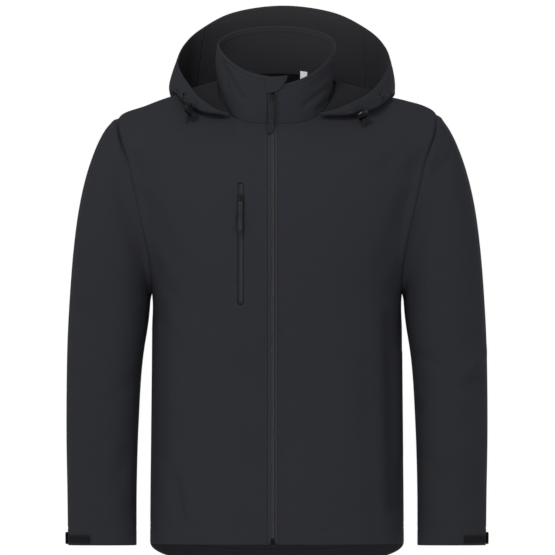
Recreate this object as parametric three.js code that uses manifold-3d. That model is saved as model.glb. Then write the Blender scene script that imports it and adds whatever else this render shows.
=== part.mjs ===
// A men's hooded softshell jacket, shown as worn but with no wearer inside: hollow body, hanging sleeves,
// stand collar, hood turned back round the collar, front zip, chest pocket and cuff tabs.
// Millimetres, +Z up. The front faces -Y, so the wearer's right is at -X. The origin is where the wearer's
// shoulders carry the jacket: the middle of the neck opening, level with the shoulder line beside the hood.
import * as THREE from "three";
import { mergeVertices } from "three/addons/utils/BufferGeometryUtils.js";
import Module from "manifold-3d";

const wasm = await Module();
wasm.setup();

// Driving dimensions
const CLOTH = 2; // wall of the body, sleeves and hood
const COLLAR_CLOTH = 3; // the collar is two layers
const SEAM = 0.3; // gap between two pieces at a seam
const RING_SEAM = SEAM + 0.15; // the same at a ring that butts against other pieces' rounded edges
const ZIP_X = -6.5; // the front closes a little to the wearer's right of the middle
const ZIP_WIDTH = 15.4; // both tapes and the coil between the two front edges
const FRONT_GAP = ZIP_WIDTH / 2 + SEAM; // from the zip's middle to each front edge
const NECKLINE_CURVE = 1.5; // how late the front of a ring climbs towards its side
// How far the cloth is drawn out at the armhole: over each shoulder, and forwards and backwards at mid height
const SHOULDER_LIFT = { right: 1.5, left: 3 };
const ARMHOLE_LIFT = 12;
const ARMHOLE_LIFT_FADE = 0.6; // how late this lift fades on its way up to the shoulder
const LIFT_REACH = 16;
const LIFT_STATION = 0.5; // station of SLEEVE whose face shows the way out there
// The wearer's left shoulder stands a little higher: by raise at x, less away from there and down to low
const LEFT_SHOULDER = { raise: 8, x: 222, reach: 42, reachY: 45, low: -140, fade: 80 };
const ARMHOLE_FRONT = 20; // degrees that the armhole cuts into the front, at its middle
const ARMHOLE_BACK = 23;
const ARMHOLE_STEPS = 10;
const RING_STEPS = 2 * ARMHOLE_STEPS;
const HOOD_START = 11.9; // row of BODY where the hood is sewn on, just outside the collar
const TAPE = 1; // wall of the zip tapes, label and touch fastener
const COIL_HALF = 2.7; // half width of the closed coil of the main zip
const TAPE_SINK = 0.7; // how far the tapes lie below the face of the cloth
const COIL_SINK = 0.2;
const COIL_WALL = 1.5;
const SOLVE_TURNS = 24;
const POCKET = { x: -57, top: -131, bottom: -324, slot: 9.4, coilHalf: 2.1, sliderZ: -156 };
const SLIDER_UP = 0.54; // where the main slider stands between the neck seam and the collar's rim
const PULL_LENGTH = 56;
const PIVOT_OUT = 2.9; // from the cloth to the middle of the pull's cross bar

// Rings of the body from the hem to the neck. Each has the half width and height of its side, and the depth and
// height of its front and back middle. round is the exponent of its outline, where 2 is an ellipse.
const BODY = [
  { side: 200.5, sideZ: -700, front: -128, frontZ: -701, back: 124, backZ: -738, round: 2.5 },
  { side: 200, sideZ: -620, front: -125, frontZ: -621, back: 119, backZ: -640, round: 2.5 },
  { side: 199, sideZ: -525, front: -121, frontZ: -524, back: 110, backZ: -530, round: 2.5 },
  { side: 198, sideZ: -430, front: -123, frontZ: -430, back: 107, backZ: -430, round: 2.5 },
  { side: 197.5, sideZ: -365, front: -129, frontZ: -365, back: 111, backZ: -365, round: 2.45 },
  { side: 197.5, sideZ: -306, front: -133, frontZ: -306, back: 118, backZ: -306, round: 2.4 },
  { side: 213, sideZ: -235, front: -136, frontZ: -240, back: 126, backZ: -236, round: 2.4 },
  { side: 232, sideZ: -160, front: -130, frontZ: -175, back: 128, backZ: -166, round: 2.35 },
  { side: 242, sideZ: -88, front: -119, frontZ: -125, back: 125, backZ: -105, round: 2.3 },
  { side: 249, sideZ: -30, front: -108, frontZ: -92, back: 116, backZ: -58, round: 2.25 },
  { side: 205, sideZ: -8, front: -99, frontZ: -73, back: 102, backZ: -20, round: 2.15 },
  { side: 150, sideZ: 11, front: -89, frontZ: -56, back: 84, backZ: 14, round: 2.05 },
  { side: 88, sideZ: 24, front: -78, frontZ: -38, back: 62, backZ: 42, round: 2 },
];
const ARMPIT = 5; // row of BODY where the armhole starts
const SHOULDER = 9; // row of BODY that passes the shoulder point
const NECK = BODY.length - 1;

// Sections of a sleeve, from just past the armhole to the cuff. outX, outZ is the outermost point seen from the
// front and inX, inZ the one beside the body. midY is the section's middle, front and back its half depths.
const SLEEVE = [
  { outX: 258, outZ: -33, inX: 199.8, inZ: -317, midY: 2, front: 56, back: 60 },
  { outX: 272.5, outZ: -49, inX: 200.4, inZ: -325, midY: 2, front: 63, back: 66 },
  { outX: 287.5, outZ: -79, inX: 201.2, inZ: -335, midY: 1, front: 69, back: 70 },
  { outX: 302, outZ: -122, inX: 202.6, inZ: -348, midY: 1, front: 73, back: 72 },
  { outX: 313.5, outZ: -175, inX: 205, inZ: -365, midY: 0, front: 74, back: 72 },
  { outX: 321.5, outZ: -237, inX: 208.5, inZ: -386, midY: -2, front: 72, back: 70 },
  { outX: 327, outZ: -305, inX: 212, inZ: -412, midY: -2, front: 68, back: 67 },
  { outX: 331, outZ: -380, inX: 215, inZ: -446, midY: -3, front: 64, back: 63 },
  { outX: 332.5, outZ: -460, inX: 217.5, inZ: -492, midY: -6, front: 60, back: 60 },
  { outX: 332.5, outZ: -540, inX: 220, inZ: -552, midY: -11, front: 55, back: 56 },
  { outX: 331, outZ: -622, inX: 221.5, inZ: -624, midY: -17, front: 49, back: 51 },
  { outX: 330, outZ: -703, inX: 221.5, inZ: -703, midY: -24, front: 43, back: 45 },
];
const SLEEVE_ROUND = 2.25;
const FOLD_FADE = 1.7; // how soon a sleeve's folds come up from its outline towards its front

// The collar's upper edge, with the columns of BODY. It falls from the back to the front.
const COLLAR_RIM = { side: 94, sideZ: 88, front: -86, frontZ: 37, back: 56, backZ: 118 };
const COLLAR_FALL = 1.5; // how late the rim falls on its way to the front
const COLLAR_HEIGHT = 72; // about, from the neck seam to the rim
const COLLAR_SLUMP = 14; // how much lower the rim stands on the wearer's left of the zip
const SLUMP_FADE = 0.6; // how late the slump fades on its way to the side
const COLLAR_BULGE = 6; // how far it stands out at mid height on the wearer's right

// The hood, turned back. At each angle it lies on the body from HOOD_START out to a row of BODY, bulges out by
// roll and rises to its rim at x, y, z. shift moves the rim towards the wearer's left.
const HOOD = [
  { angle: 50, row: 11.7, roll: 7, x: 71, y: -62, z: -21, shift: -5 },
  { angle: 62, row: 11.3, roll: 11, x: 94, y: -60, z: -15, shift: -2 },
  { angle: 74, row: 11.0, roll: 14, x: 115, y: -52, z: -4, shift: 3 },
  { angle: 86, row: 10.8, roll: 16, x: 134, y: -40, z: 8, shift: 7 },
  { angle: 98, row: 10.68, roll: 17, x: 149, y: -22, z: 24, shift: 10 },
  { angle: 110, row: 10.55, roll: 19, x: 161, y: 2, z: 42, shift: 10 },
  { angle: 122, row: 10.35, roll: 23, x: 168, y: 30, z: 62, shift: 10.5 },
  { angle: 136, row: 9.9, roll: 30, x: 159, y: 63, z: 88, shift: 11 },
  { angle: 150, row: 9.1, roll: 38, x: 132, y: 93, z: 114, shift: 11 },
  { angle: 165, row: 8.2, roll: 44, x: 79, y: 116, z: 141, shift: 10 },
  { angle: 180, row: 7.9, roll: 46, x: 0, y: 125, z: 152, shift: 10 },
];
const HOOD_SEAM_ANGLE = 153; // between a side panel and the centre panel
const HOOD_SKEW = 0.2; // rows by which the hood lies further out on the wearer's left

// Troughs in the cloth: a line from (x, z) to (x2, z2) seen from the front, with its depth and half width.
// A negative depth is a ridge. side is -1 on the wearer's right and 1 on the left.
const FRONT_FOLDS = [
  { x: 181, z: -345, x2: 187, z2: -640, depth: 7, width: 13 },
  { x: 196, z: -400, x2: 198, z2: -560, depth: -3, width: 7 },
  { x: -183, z: -330, x2: -186, z2: -560, depth: 3, width: 12 },
  { x: -161, z: -600, x2: -150, z2: -662, depth: 3.5, width: 9 },
  { x: 213, z: -62, x2: 172, z2: -104, depth: 3, width: 12 },
  { x: -205, z: -160, x2: -160, z2: -250, depth: 3, width: 16 },
  { x: 202, z: -165, x2: 168, z2: -262, depth: 3, width: 16 },
];
const SLEEVE_FOLDS = [
  { side: 1, x: 240, z: -112, x2: 272, z2: -90, depth: 5, width: 7 },
  { side: 1, x: 236, z: -128, x2: 250, z2: -190, depth: -2, width: 10 },
  { side: 1, x: 304, z: -428, x2: 330, z2: -396, depth: -4, width: 9 },
  { side: 1, x: 300, z: -452, x2: 332, z2: -424, depth: 4, width: 10 },
  { side: 1, x: 224, z: -482, x2: 214, z2: -500, depth: 3, width: 7 },
  { side: -1, x: -308, z: -158, x2: -296, z2: -188, depth: 3.5, width: 10 },
  { side: -1, x: -326, z: -318, x2: -300, z2: -345, depth: 4, width: 11 },
  { side: -1, x: -330, z: -430, x2: -306, z2: -452, depth: 3.5, width: 11 },
  { side: -1, x: -330, z: -520, x2: -312, z2: -545, depth: 3, width: 10 },
  { side: -1, x: -238, z: -560, x2: -252, z2: -600, depth: 3, width: 12 },
];

// A value table read between its rows: at counts rows from the first one, joined by a smooth curve.
function between(rows, at) {
  const last = rows.length - 1;
  const i = Math.max(0, Math.min(Math.floor(at), last - 1));
  const f = at - i;
  const row = (k) => rows[Math.max(0, Math.min(last, k))];
  const found = {};
  for (const key of Object.keys(rows[0])) {
    const [a, b, c, d] = [row(i - 1), row(i), row(i + 1), row(i + 2)].map((r) => r[key]);
    found[key] = b + 0.5 * f * (c - a + f * (2 * a - 5 * b + 4 * c - d + f * (3 * (b - c) + d - a)));
  }
  return found;
}

const power = (v, p) => Math.sign(v) * Math.abs(v) ** p;
const radians = (degrees) => (degrees * Math.PI) / 180;
const mix = (a, b, share) => a + (b - a) * share;
const ease = (share) => share * share * (3 - 2 * share);
const clamp01 = (v) => Math.max(0, Math.min(1, v));
const steps = (from, to, count) => Array.from({ length: count + 1 }, (_, i) => mix(from, to, i / count));

// How far the folds push the cloth in at a point seen from the front.
function foldDepth(folds, x, z) {
  let depth = 0;
  for (const f of folds) {
    const [dx, dz] = [f.x2 - f.x, f.z2 - f.z];
    const share = clamp01(((x - f.x) * dx + (z - f.z) * dz) / (dx * dx + dz * dz));
    const away = Math.hypot(x - f.x - dx * share, z - f.z - dz * share) / f.width;
    depth += f.depth * Math.exp(-away * away);
  }
  return depth;
}

// The unit normal of a surface at (a, b), from its slopes there.
function normalOf(surface, a, b, da, db) {
  const across = surface(a + da, b).sub(surface(a - da, b));
  const up = surface(a, b + db).sub(surface(a, b - db));
  return across.cross(up).normalize();
}

// How far a point of the body or sleeve is raised over the wearer's left shoulder.
function leftRaise(p) {
  const s = LEFT_SHOULDER;
  if (p.x < 0) return 0;
  const beside = Math.exp(-(((p.x - s.x) / s.reach) ** 2) - (p.y / s.reachY) ** 2);
  return s.raise * beside * ease(clamp01((p.z - s.low) / s.fade));
}
const raised = (p) => p.setZ(p.z + leftRaise(p));

// The plain form of the body at a row and an angle in degrees: 0 is the front middle, 90 the +X side and 180
// the back middle.
function bodyForm(row, angle) {
  const r = between(BODY, Math.max(0, Math.min(NECK, row)));
  const [s, c] = [Math.sin(radians(angle)), Math.cos(radians(angle))];
  const p = 2 / r.round;
  if (c > 0) {
    const climb = 1 - (1 - c) ** NECKLINE_CURVE;
    const x = r.side * power(s, p) + ZIP_X * c * c;
    return raised(new THREE.Vector3(x, r.front * c ** p, mix(r.sideZ, r.frontZ, climb)));
  }
  return raised(new THREE.Vector3(r.side * power(s, p), r.back * (-c) ** p, mix(r.sideZ, r.backZ, -c)));
}
// Beside the side and shoulder seam both panels use the seam's own normal, so that their edges stay parallel.
const bodyNormal = (row, angle) => {
  const inside = Math.max(0.02, Math.min(NECK - 0.02, row));
  const beside = ((angle % 180) + 180) % 180;
  const level = Math.abs(beside - 90) < 1 ? angle - beside + 90 : angle;
  return normalOf(bodyForm, inside, level, -0.02, 0.3);
};

// The body with its folds pressed in, drawn out beside the armhole.
function body(row, angle) {
  const p = bodyForm(row, angle);
  const beside = drawnOut(p);
  if (Math.cos(radians(angle)) <= 0) return p.add(beside);
  const seamFade = clamp01((90 - Math.abs(angle)) / 6);
  const depth = foldDepth(FRONT_FOLDS, p.x, p.z) * seamFade;
  return p.addScaledVector(bodyNormal(row, angle), -depth).add(beside);
}

// How far a point beside an armhole is drawn out. Over the shoulder this points half way between the faces of the
// body and the sleeve, and at mid height straight forwards or backwards. At the armpit it is nothing.
let armholeLifts = null;
function armholeLiftsOf(side) {
  return steps(0, 360, 2 * RING_STEPS).map((around) => {
    const edge = armholeEdge(side, around);
    const way = bodyNormal(edge.row, edge.angle - (side * edge.cut) / 2);
    way.add(sleeveNormal(side, LIFT_STATION, around)).normalize();
    const top = SHOULDER_LIFT[side < 0 ? "right" : "left"];
    const lift = way.multiplyScalar((top * (1 - Math.cos(radians(edge.round)))) / 2);
    const share = Math.sin(radians(edge.round)) ** (edge.round > 90 ? ARMHOLE_LIFT_FADE : 1);
    lift.y += Math.sign(edge.cut) * ARMHOLE_LIFT * share;
    return { point: bodyForm(edge.row, edge.angle), lift };
  });
}
function drawnOut(point) {
  armholeLifts ??= [...armholeLiftsOf(-1), ...armholeLiftsOf(1)];
  const near = armholeLifts.reduce((best, spot) => {
    const away = spot.point.distanceToSquared(point);
    return away < best.away ? { spot, away } : best;
  }, { away: Infinity });
  return near.spot.lift.clone().multiplyScalar(Math.exp(-near.away / LIFT_REACH ** 2));
}

// The angle at which a body ring is this far from the zip's middle line.
const angleAtWidth = (row, width) => {
  const r = between(BODY, row);
  return (Math.asin((width / r.side) ** (r.round / 2)) * 180) / Math.PI;
};

// The armhole in the body: round is 0 at the armpit and 180 at the shoulder point.
const armholeRow = (round) => mix(ARMPIT, SHOULDER, (1 - Math.cos(radians(round))) / 2);
const armholeCut = (round, depth) => depth * Math.sin(radians(round));
// The panels' edge at the armhole, where around is 0 at the armpit, 180 at the shoulder and 90 at the front
function armholeEdge(side, around) {
  const front = around <= 180;
  const round = front ? around : 360 - around;
  const cut = front ? -armholeCut(round, ARMHOLE_FRONT) : armholeCut(round, ARMHOLE_BACK);
  return { row: armholeRow(round), round, cut, angle: side * (90 + cut) };
}

// A closed wall from a grid of outer points and the normals there. closed joins the last column to the first.
function wall(outer, normals, thick, closed = false) {
  const [rows, columns] = [outer.length, outer[0].length];
  const inner = outer.map((line, j) => line.map((p, i) => p.clone().addScaledVector(normals[j][i], -thick)));
  const at = (side, j, i) => side * rows * columns + j * columns + (i % columns);
  const faces = [];
  const quad = (a, b, c, d) => faces.push(a, b, c, a, c, d);
  const across = closed ? columns : columns - 1;
  for (let j = 0; j < rows - 1; j++)
    for (let i = 0; i < across; i++) {
      quad(at(0, j, i), at(0, j, i + 1), at(0, j + 1, i + 1), at(0, j + 1, i));
      quad(at(1, j, i), at(1, j + 1, i), at(1, j + 1, i + 1), at(1, j, i + 1));
    }
  for (let i = 0; i < across; i++) {
    quad(at(0, 0, i), at(1, 0, i), at(1, 0, i + 1), at(0, 0, i + 1));
    quad(at(0, rows - 1, i), at(0, rows - 1, i + 1), at(1, rows - 1, i + 1), at(1, rows - 1, i));
  }
  if (!closed)
    for (let j = 0; j < rows - 1; j++) {
      quad(at(0, j, 0), at(0, j + 1, 0), at(1, j + 1, 0), at(1, j, 0));
      quad(at(0, j, across), at(1, j, across), at(1, j + 1, across), at(0, j + 1, across));
    }
  return facingOut([...outer.flat(), ...inner.flat()], faces);
}

// A geometry of these points and faces, turned round if its faces point inwards.
function facingOut(points, faces) {
  let volume = 0;
  for (let i = 0; i < faces.length; i += 3)
    volume += points[faces[i]].dot(points[faces[i + 1]].clone().cross(points[faces[i + 2]]));
  if (volume < 0) for (let i = 0; i < faces.length; i += 3) [faces[i], faces[i + 1]] = [faces[i + 1], faces[i]];
  const geometry = new THREE.BufferGeometry().setFromPoints(points);
  geometry.setIndex(faces);
  return geometry;
}

// A solid lofted through closed sections that have the same number of points, with flat ends.
function loft(sections) {
  const around = sections[0].length;
  const faces = [];
  sections.slice(1).forEach((_, j) => {
    for (let i = 0; i < around; i++) {
      const [a, b] = [j * around + i, j * around + ((i + 1) % around)];
      faces.push(a, b, b + around, a, b + around, a + around);
    }
  });
  const last = (sections.length - 1) * around;
  for (let i = 1; i < around - 1; i++) faces.push(0, i + 1, i, last, last + i, last + i + 1);
  return facingOut(sections.flat(), faces);
}

// Joins, cuts and back: a geometry as a manifold-3d solid, and such a solid as a geometry.
function solidOf(geometry) {
  const bare = geometry.clone();
  bare.deleteAttribute("normal");
  bare.deleteAttribute("uv");
  const merged = mergeVertices(bare, 1e-3);
  const mesh = new wasm.Mesh({
    numProp: 3,
    vertProperties: merged.attributes.position.array,
    triVerts: new Uint32Array(merged.index.array),
  });
  return new wasm.Manifold(mesh);
}
function geometryOf(solid) {
  const mesh = solid.getMesh();
  const geometry = new THREE.BufferGeometry();
  geometry.setAttribute("position", new THREE.BufferAttribute(new Float32Array(mesh.vertProperties), 3));
  geometry.setIndex(new THREE.BufferAttribute(new Uint32Array(mesh.triVerts), 1));
  return geometry;
}

const FINISHES = {
  softshell: new THREE.MeshStandardMaterial({ color: 0x2b2c30, roughness: 0.85, metalness: 0 }),
  zip: new THREE.MeshStandardMaterial({ color: 0x3a3c40, roughness: 0.35, metalness: 0 }),
  hardware: new THREE.MeshStandardMaterial({ color: 0x1b1c1f, roughness: 0.3, metalness: 0.6 }),
  grip: new THREE.MeshStandardMaterial({ color: 0x242529, roughness: 0.6, metalness: 0 }),
  loops: new THREE.MeshStandardMaterial({ color: 0x1d1d1f, roughness: 1, metalness: 0 }),
  cord: new THREE.MeshStandardMaterial({ color: 0x202124, roughness: 0.8, metalness: 0 }),
  label: new THREE.MeshStandardMaterial({ color: 0xf2f2f2, roughness: 0.8, metalness: 0 }),
};
const jacket = new THREE.Group();
function add(name, finish, geometry, parent = jacket) {
  const mesh = new THREE.Mesh(geometry, FINISHES[finish]);
  mesh.name = name;
  parent.add(mesh);
  return mesh;
}

// Body panels: rows go from the hem past the armhole to the neck, columns across the panel
const LOWER_ROWS = steps(0, ARMPIT, 10).slice(0, -1);
const ARMHOLE_ROUNDS = steps(0, 180, ARMHOLE_STEPS);
const UPPER_ROWS = steps(SHOULDER, NECK, 6).slice(1);
const PANEL_ROWS = [
  ...LOWER_ROWS.map((row) => ({ row, round: 0 })),
  ...ARMHOLE_ROUNDS.map((round) => ({ row: armholeRow(round), round })),
  ...UPPER_ROWS.map((row) => ({ row, round: 180 })),
];
const seamAngle = (row) => (((SEAM / 2) * 180) / Math.PI) / between(BODY, row).side + 0.04;

function panel(angles) {
  const outer = PANEL_ROWS.map(({ row, round }) => angles(row, round).map((angle) => body(row, angle)));
  const normals = PANEL_ROWS.map(({ row, round }) => angles(row, round).map((angle) => bodyNormal(row, angle)));
  return wall(outer, normals, CLOTH);
}

const FRONT_COLUMNS = 12;
function frontPanel(side) {
  return panel((row, round) => {
    const centre = angleAtWidth(row, FRONT_GAP);
    const edge = 90 - seamAngle(row) - armholeCut(round, ARMHOLE_FRONT);
    return steps(centre, edge, FRONT_COLUMNS).map((angle) => side * angle);
  });
}

// A point of the front seen at x, z: its row and angle on the body
function frontSpot(x, z) {
  const side = x < ZIP_X ? -1 : 1;
  let [low, high] = [0, NECK];
  let angle = 0;
  for (let turn = 0; turn < SOLVE_TURNS; turn++) {
    const row = (low + high) / 2;
    let [near, far] = [0, 90];
    for (let k = 0; k < SOLVE_TURNS; k++) {
      const middle = (near + far) / 2;
      if (Math.abs(bodyForm(row, side * middle).x) < Math.abs(x)) near = middle;
      else far = middle;
    }
    angle = side * near;
    if (bodyForm(row, angle).z < z) low = row;
    else high = row;
  }
  return { row: low, angle, point: body(low, angle), normal: bodyNormal(low, angle) };
}

// Moves a shape made with x across, y up and z outwards to its place
function placed(geometry, at, across, up) {
  const x = across.clone().normalize();
  const out = x.clone().cross(up).normalize();
  const y = out.clone().cross(x);
  return geometry.clone().applyMatrix4(new THREE.Matrix4().makeBasis(x, y, out).setPosition(at));
}

// The line of the chest pocket as a row of spots down the front, and its slot
const pocketSpot = (z, dx = 0) => frontSpot(POCKET.x + dx, z);
const pocketUp = (z) => pocketSpot(z + 2).point.sub(pocketSpot(z - 2).point).normalize();
const pocketAcross = (z) => pocketSpot(z, 2).point.sub(pocketSpot(z, -2).point).normalize();
function pocketSlot() {
  const [height, half] = [POCKET.top - POCKET.bottom, POCKET.slot / 2];
  const outline = new THREE.Shape();
  outline.absarc(0, height / 2 - half, half, 0, Math.PI);
  outline.absarc(0, half - height / 2, half, Math.PI, 2 * Math.PI);
  const depth = 40;
  const prism = new THREE.ExtrudeGeometry(outline, { depth, bevelEnabled: false, curveSegments: 6 });
  prism.translate(0, 0, -depth / 2);
  const middle = (POCKET.top + POCKET.bottom) / 2;
  return placed(prism, pocketSpot(middle).point, new THREE.Vector3(1, 0, 0), new THREE.Vector3(0, 0, 1));
}
const slitFront = solidOf(frontPanel(-1)).subtract(solidOf(pocketSlot()));
add("front_right", "softshell", geometryOf(slitFront));
add("front_left", "softshell", frontPanel(1));

const BACK_COLUMNS = 22;
const backPanel = panel((row, round) => {
  const edge = 90 + seamAngle(row) + armholeCut(round, ARMHOLE_BACK);
  return steps(edge, 360 - edge, BACK_COLUMNS);
});
add("back", "softshell", backPanel);

// Sleeves: around is 0 beside the body, 90 at the front, 180 outermost and 270 at the back
function sleeveForm(side, at, around) {
  const r = between(SLEEVE, at);
  const [s, c] = [Math.sin(radians(around)), Math.cos(radians(around))];
  const p = 2 / SLEEVE_ROUND;
  const outward = (1 - power(c, p)) / 2;
  const depth = s > 0 ? -r.front * s ** p : r.back * (-s) ** p;
  const x = side * mix(r.inX, r.outX, outward);
  return raised(new THREE.Vector3(x, r.midY + depth, mix(r.inZ, r.outZ, outward)));
}
function sleeveNormal(side, at, around) {
  const inside = Math.max(0.02, Math.min(SLEEVE.length - 1.02, at));
  const n = normalOf((a, b) => sleeveForm(side, a, b), inside, around, 0.02, 0.5);
  return n.multiplyScalar(side);
}
function sleeve(side, at, around) {
  const p = sleeveForm(side, at, around);
  const beside = drawnOut(p);
  const folds = SLEEVE_FOLDS.filter((f) => f.side === side);
  const depth = foldDepth(folds, p.x, p.z) * clamp01(Math.sin(radians(around)) * FOLD_FADE);
  return p.addScaledVector(sleeveNormal(side, at, around), -depth).add(beside);
}

// The sleeve's first ring butts against the panels' edges: it copies their points, moved out by the seam's gap.
function armholeRing(side) {
  return steps(0, 360, RING_STEPS)
    .slice(0, -1)
    .map((around) => {
      const { row, angle } = armholeEdge(side, around);
      const normal = bodyNormal(row, angle);
      const next = sleeve(side, 0, around);
      const point = body(row, angle);
      const away = next.sub(point);
      away.addScaledVector(normal, -away.dot(normal)).normalize();
      return { point: point.addScaledVector(away, RING_SEAM), normal };
    });
}

const SLEEVE_STATIONS = [...steps(0, 4, 6), ...steps(4.7, SLEEVE.length - 1, 10)];
function sleeveTube(side) {
  const ring = armholeRing(side);
  const arounds = steps(0, 360, RING_STEPS).slice(0, -1);
  const outer = [ring.map((r) => r.point)];
  const normals = [ring.map((r) => r.normal)];
  for (const at of SLEEVE_STATIONS) {
    outer.push(arounds.map((around) => sleeve(side, at, around)));
    normals.push(arounds.map((around) => sleeveNormal(side, at, around)));
  }
  return wall(outer, normals, CLOTH, true);
}
add("sleeve_right", "softshell", sleeveTube(-1));
add("sleeve_left", "softshell", sleeveTube(1));

// Collar: up is 0 at the neck seam and 1 at the rim
function collarForm(angle, up) {
  const base = bodyForm(NECK, angle);
  const [s, c] = [Math.sin(radians(angle)), Math.cos(radians(angle))];
  const r = COLLAR_RIM;
  const rimZ = c > 0 ? mix(r.sideZ, r.frontZ, c ** COLLAR_FALL) : mix(r.sideZ, r.backZ, -c);
  const rimX = r.side * s + (c > 0 ? ZIP_X * c * c : 0);
  const rim = new THREE.Vector3(rimX, (c > 0 ? r.front : -r.back) * c, rimZ);
  const point = base.lerp(rim, mix(RING_SEAM / COLLAR_HEIGHT, 1, up));
  if (s < 0) point.x -= COLLAR_BULGE * s * s * Math.sin(Math.PI * clamp01(up));
  return point;
}
const collarNormal = (angle, up) => {
  const inside = Math.max(0.02, Math.min(0.98, up));
  return normalOf(collarForm, angle, inside, 0.5, 0.02);
};
const collarAngle = (up, width) =>
  (Math.asin(width / mix(between(BODY, NECK).side, COLLAR_RIM.side, up)) * 180) / Math.PI;
const COLLAR_LEVELS = steps(0, 1, 5);
const collarAngles = (up) => {
  const edge = collarAngle(up, FRONT_GAP);
  const front = steps(edge, 90, FRONT_COLUMNS);
  const mirrored = front.map((angle) => 360 - angle).reverse();
  return [...front, ...steps(90, 270, BACK_COLUMNS).slice(1, -1), ...mirrored];
};
// The collar's height at an angle, as a share: it slumps on the wearer's left of the zip.
function collarShare(angle) {
  const [s, c] = [Math.sin(radians(angle)), Math.cos(radians(angle))];
  if (s <= 0 || c <= 0) return 1;
  const height = collarForm(angle, 1).z - collarForm(angle, 0).z;
  return 1 - (COLLAR_SLUMP * c ** SLUMP_FADE) / height;
}
function collarWall() {
  const grid = (place) =>
    COLLAR_LEVELS.map((up) => collarAngles(up).map((angle) => place(angle, up * collarShare(angle))));
  return wall(grid(collarForm), grid(collarNormal), COLLAR_CLOTH);
}
add("collar", "softshell", collarWall());

// Hood: along runs from 0 at its seam to 1 at the roll where it leaves the body, and on to 2 at the rim
const HOOD_LAY = 1.7; // clear of the body
function hoodForm(angle, along) {
  const folded = angle > 180 ? 360 - angle : angle;
  const side = angle > 180 ? -1 : 1;
  const first = HOOD.findIndex((h) => h.angle > folded);
  const i = first < 0 ? HOOD.length - 2 : Math.max(0, first - 1);
  const share = (folded - HOOD[i].angle) / (HOOD[i + 1].angle - HOOD[i].angle);
  const h = between(HOOD, i + share);
  const skew = HOOD_SKEW * side * Math.max(0, Math.sin(radians(folded * 2 - 100)));
  const row = mix(HOOD_START, h.row - skew, Math.min(1, along));
  const normal = bodyNormal(row, angle);
  const lie = bodyForm(row, angle).addScaledVector(normal, HOOD_LAY);
  if (along <= 1) return lie;
  const down = bodyForm(row - 0.1, angle).sub(bodyForm(row, angle)).normalize();
  const rim = new THREE.Vector3(h.x * side + h.shift, h.y, h.z);
  const outward = new THREE.Vector3(h.x * side, Math.max(h.y, 0), 0).normalize();
  const bend = [
    lie.clone(),
    lie.clone().addScaledVector(down.add(normal), h.roll),
    rim.clone().addScaledVector(outward, h.roll / 2),
    rim,
  ];
  bend[2].z -= 0.4 * rim.distanceTo(lie);
  const t = along - 1;
  const weights = [(1 - t) ** 3, 3 * t * (1 - t) ** 2, 3 * t * t * (1 - t), t ** 3];
  return weights.reduce((sum, w, k) => sum.addScaledVector(bend[k], w), new THREE.Vector3());
}
const hoodNormal = (angle, along) => {
  const inside = Math.max(0.02, Math.min(1.98, along));
  return normalOf(hoodForm, angle, inside, 0.5, 0.02);
};
const HOOD_ALONGS = [...steps(0, 1, 7), 1.08, 1.17, 1.28, 1.42, 1.6, 1.8, 2];
function hoodPanel(stops, columns) {
  const [from, to] = [stops[0], stops.at(-1)];
  const angles = (along) => {
    const clear = (angle) => {
      const reach = hoodForm(angle + 0.5, along).distanceTo(hoodForm(angle - 0.5, along));
      return SEAM / 2 / reach;
    };
    const edges = [from + clear(from), ...stops.slice(1, -1), to - clear(to)];
    return columns.flatMap((count, k) => steps(edges[k], edges[k + 1], count).slice(k ? 1 : 0));
  };
  const outer = HOOD_ALONGS.map((along) => angles(along).map((angle) => hoodForm(angle, along)));
  const normals = HOOD_ALONGS.map((along) => angles(along).map((angle) => hoodNormal(angle, along)));
  return wall(outer, normals, CLOTH);
}
const HOOD_CORNER = HOOD[0].angle;
add("hood_left", "softshell", hoodPanel([HOOD_CORNER, 90, HOOD_SEAM_ANGLE], [6, 9]));
add("hood_centre", "softshell", hoodPanel([HOOD_SEAM_ANGLE, 360 - HOOD_SEAM_ANGLE], [8]));
add("hood_right", "softshell", hoodPanel([360 - HOOD_SEAM_ANGLE, 270, 360 - HOOD_CORNER], [9, 6]));

// Main zip: the place v counts rows of BODY to the neck seam and then goes on up the collar
function zipSpot(v, width) {
  const side = width < 0 ? -1 : 1;
  if (v <= NECK) {
    const angle = side * angleAtWidth(v, Math.abs(width));
    return { point: bodyForm(v, angle), normal: bodyNormal(v, angle) };
  }
  const angle = side * collarAngle(v - NECK, Math.abs(width));
  return { point: collarForm(angle, v - NECK), normal: collarNormal(angle, v - NECK) };
}

// A flat piece laid on a surface: a spot for each row and column, its face lift out from there.
function laidOn(spot, rows, columns, lift, thick) {
  const grid = rows.map((row) => columns.map((column) => spot(row, column)));
  const liftAt = (j, i) => (typeof lift === "function" ? lift(rows[j], columns[i]) : lift);
  const lifted = (g, j, i) => g.point.clone().addScaledVector(g.normal, liftAt(j, i));
  const outer = grid.map((line, j) => line.map((g, i) => lifted(g, j, i)));
  return wall(outer, grid.map((line) => line.map((g) => g.normal)), thick);
}
const TAPE_EDGE = COIL_HALF + SEAM;
const ZIP_ROWS = [...steps(0.02, 4.5, 6), ...steps(5.2, 12, 12), ...steps(12.1, 12.92, 4)];
const LEFT_TAPE_TOP = 12.76; // below the slumped rim
const COIL_ROWS = [...steps(0.19, 4.5, 6), ...steps(5.2, 12, 12), 12.25, NECK + SLIDER_UP - 0.04];
const main = new THREE.Group();
main.name = "main_zip";
jacket.add(main);
const tapeWall = (rows, from, to) => laidOn(zipSpot, rows, [from, to], -TAPE_SINK, TAPE);
add("main_zip_tape_right", "zip", tapeWall(ZIP_ROWS, -ZIP_WIDTH / 2, -TAPE_EDGE), main);
const leftRows = [...ZIP_ROWS.filter((v) => v < LEFT_TAPE_TOP), LEFT_TAPE_TOP];
add("main_zip_tape_left", "zip", tapeWall(leftRows, TAPE_EDGE, ZIP_WIDTH / 2), main);
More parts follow.
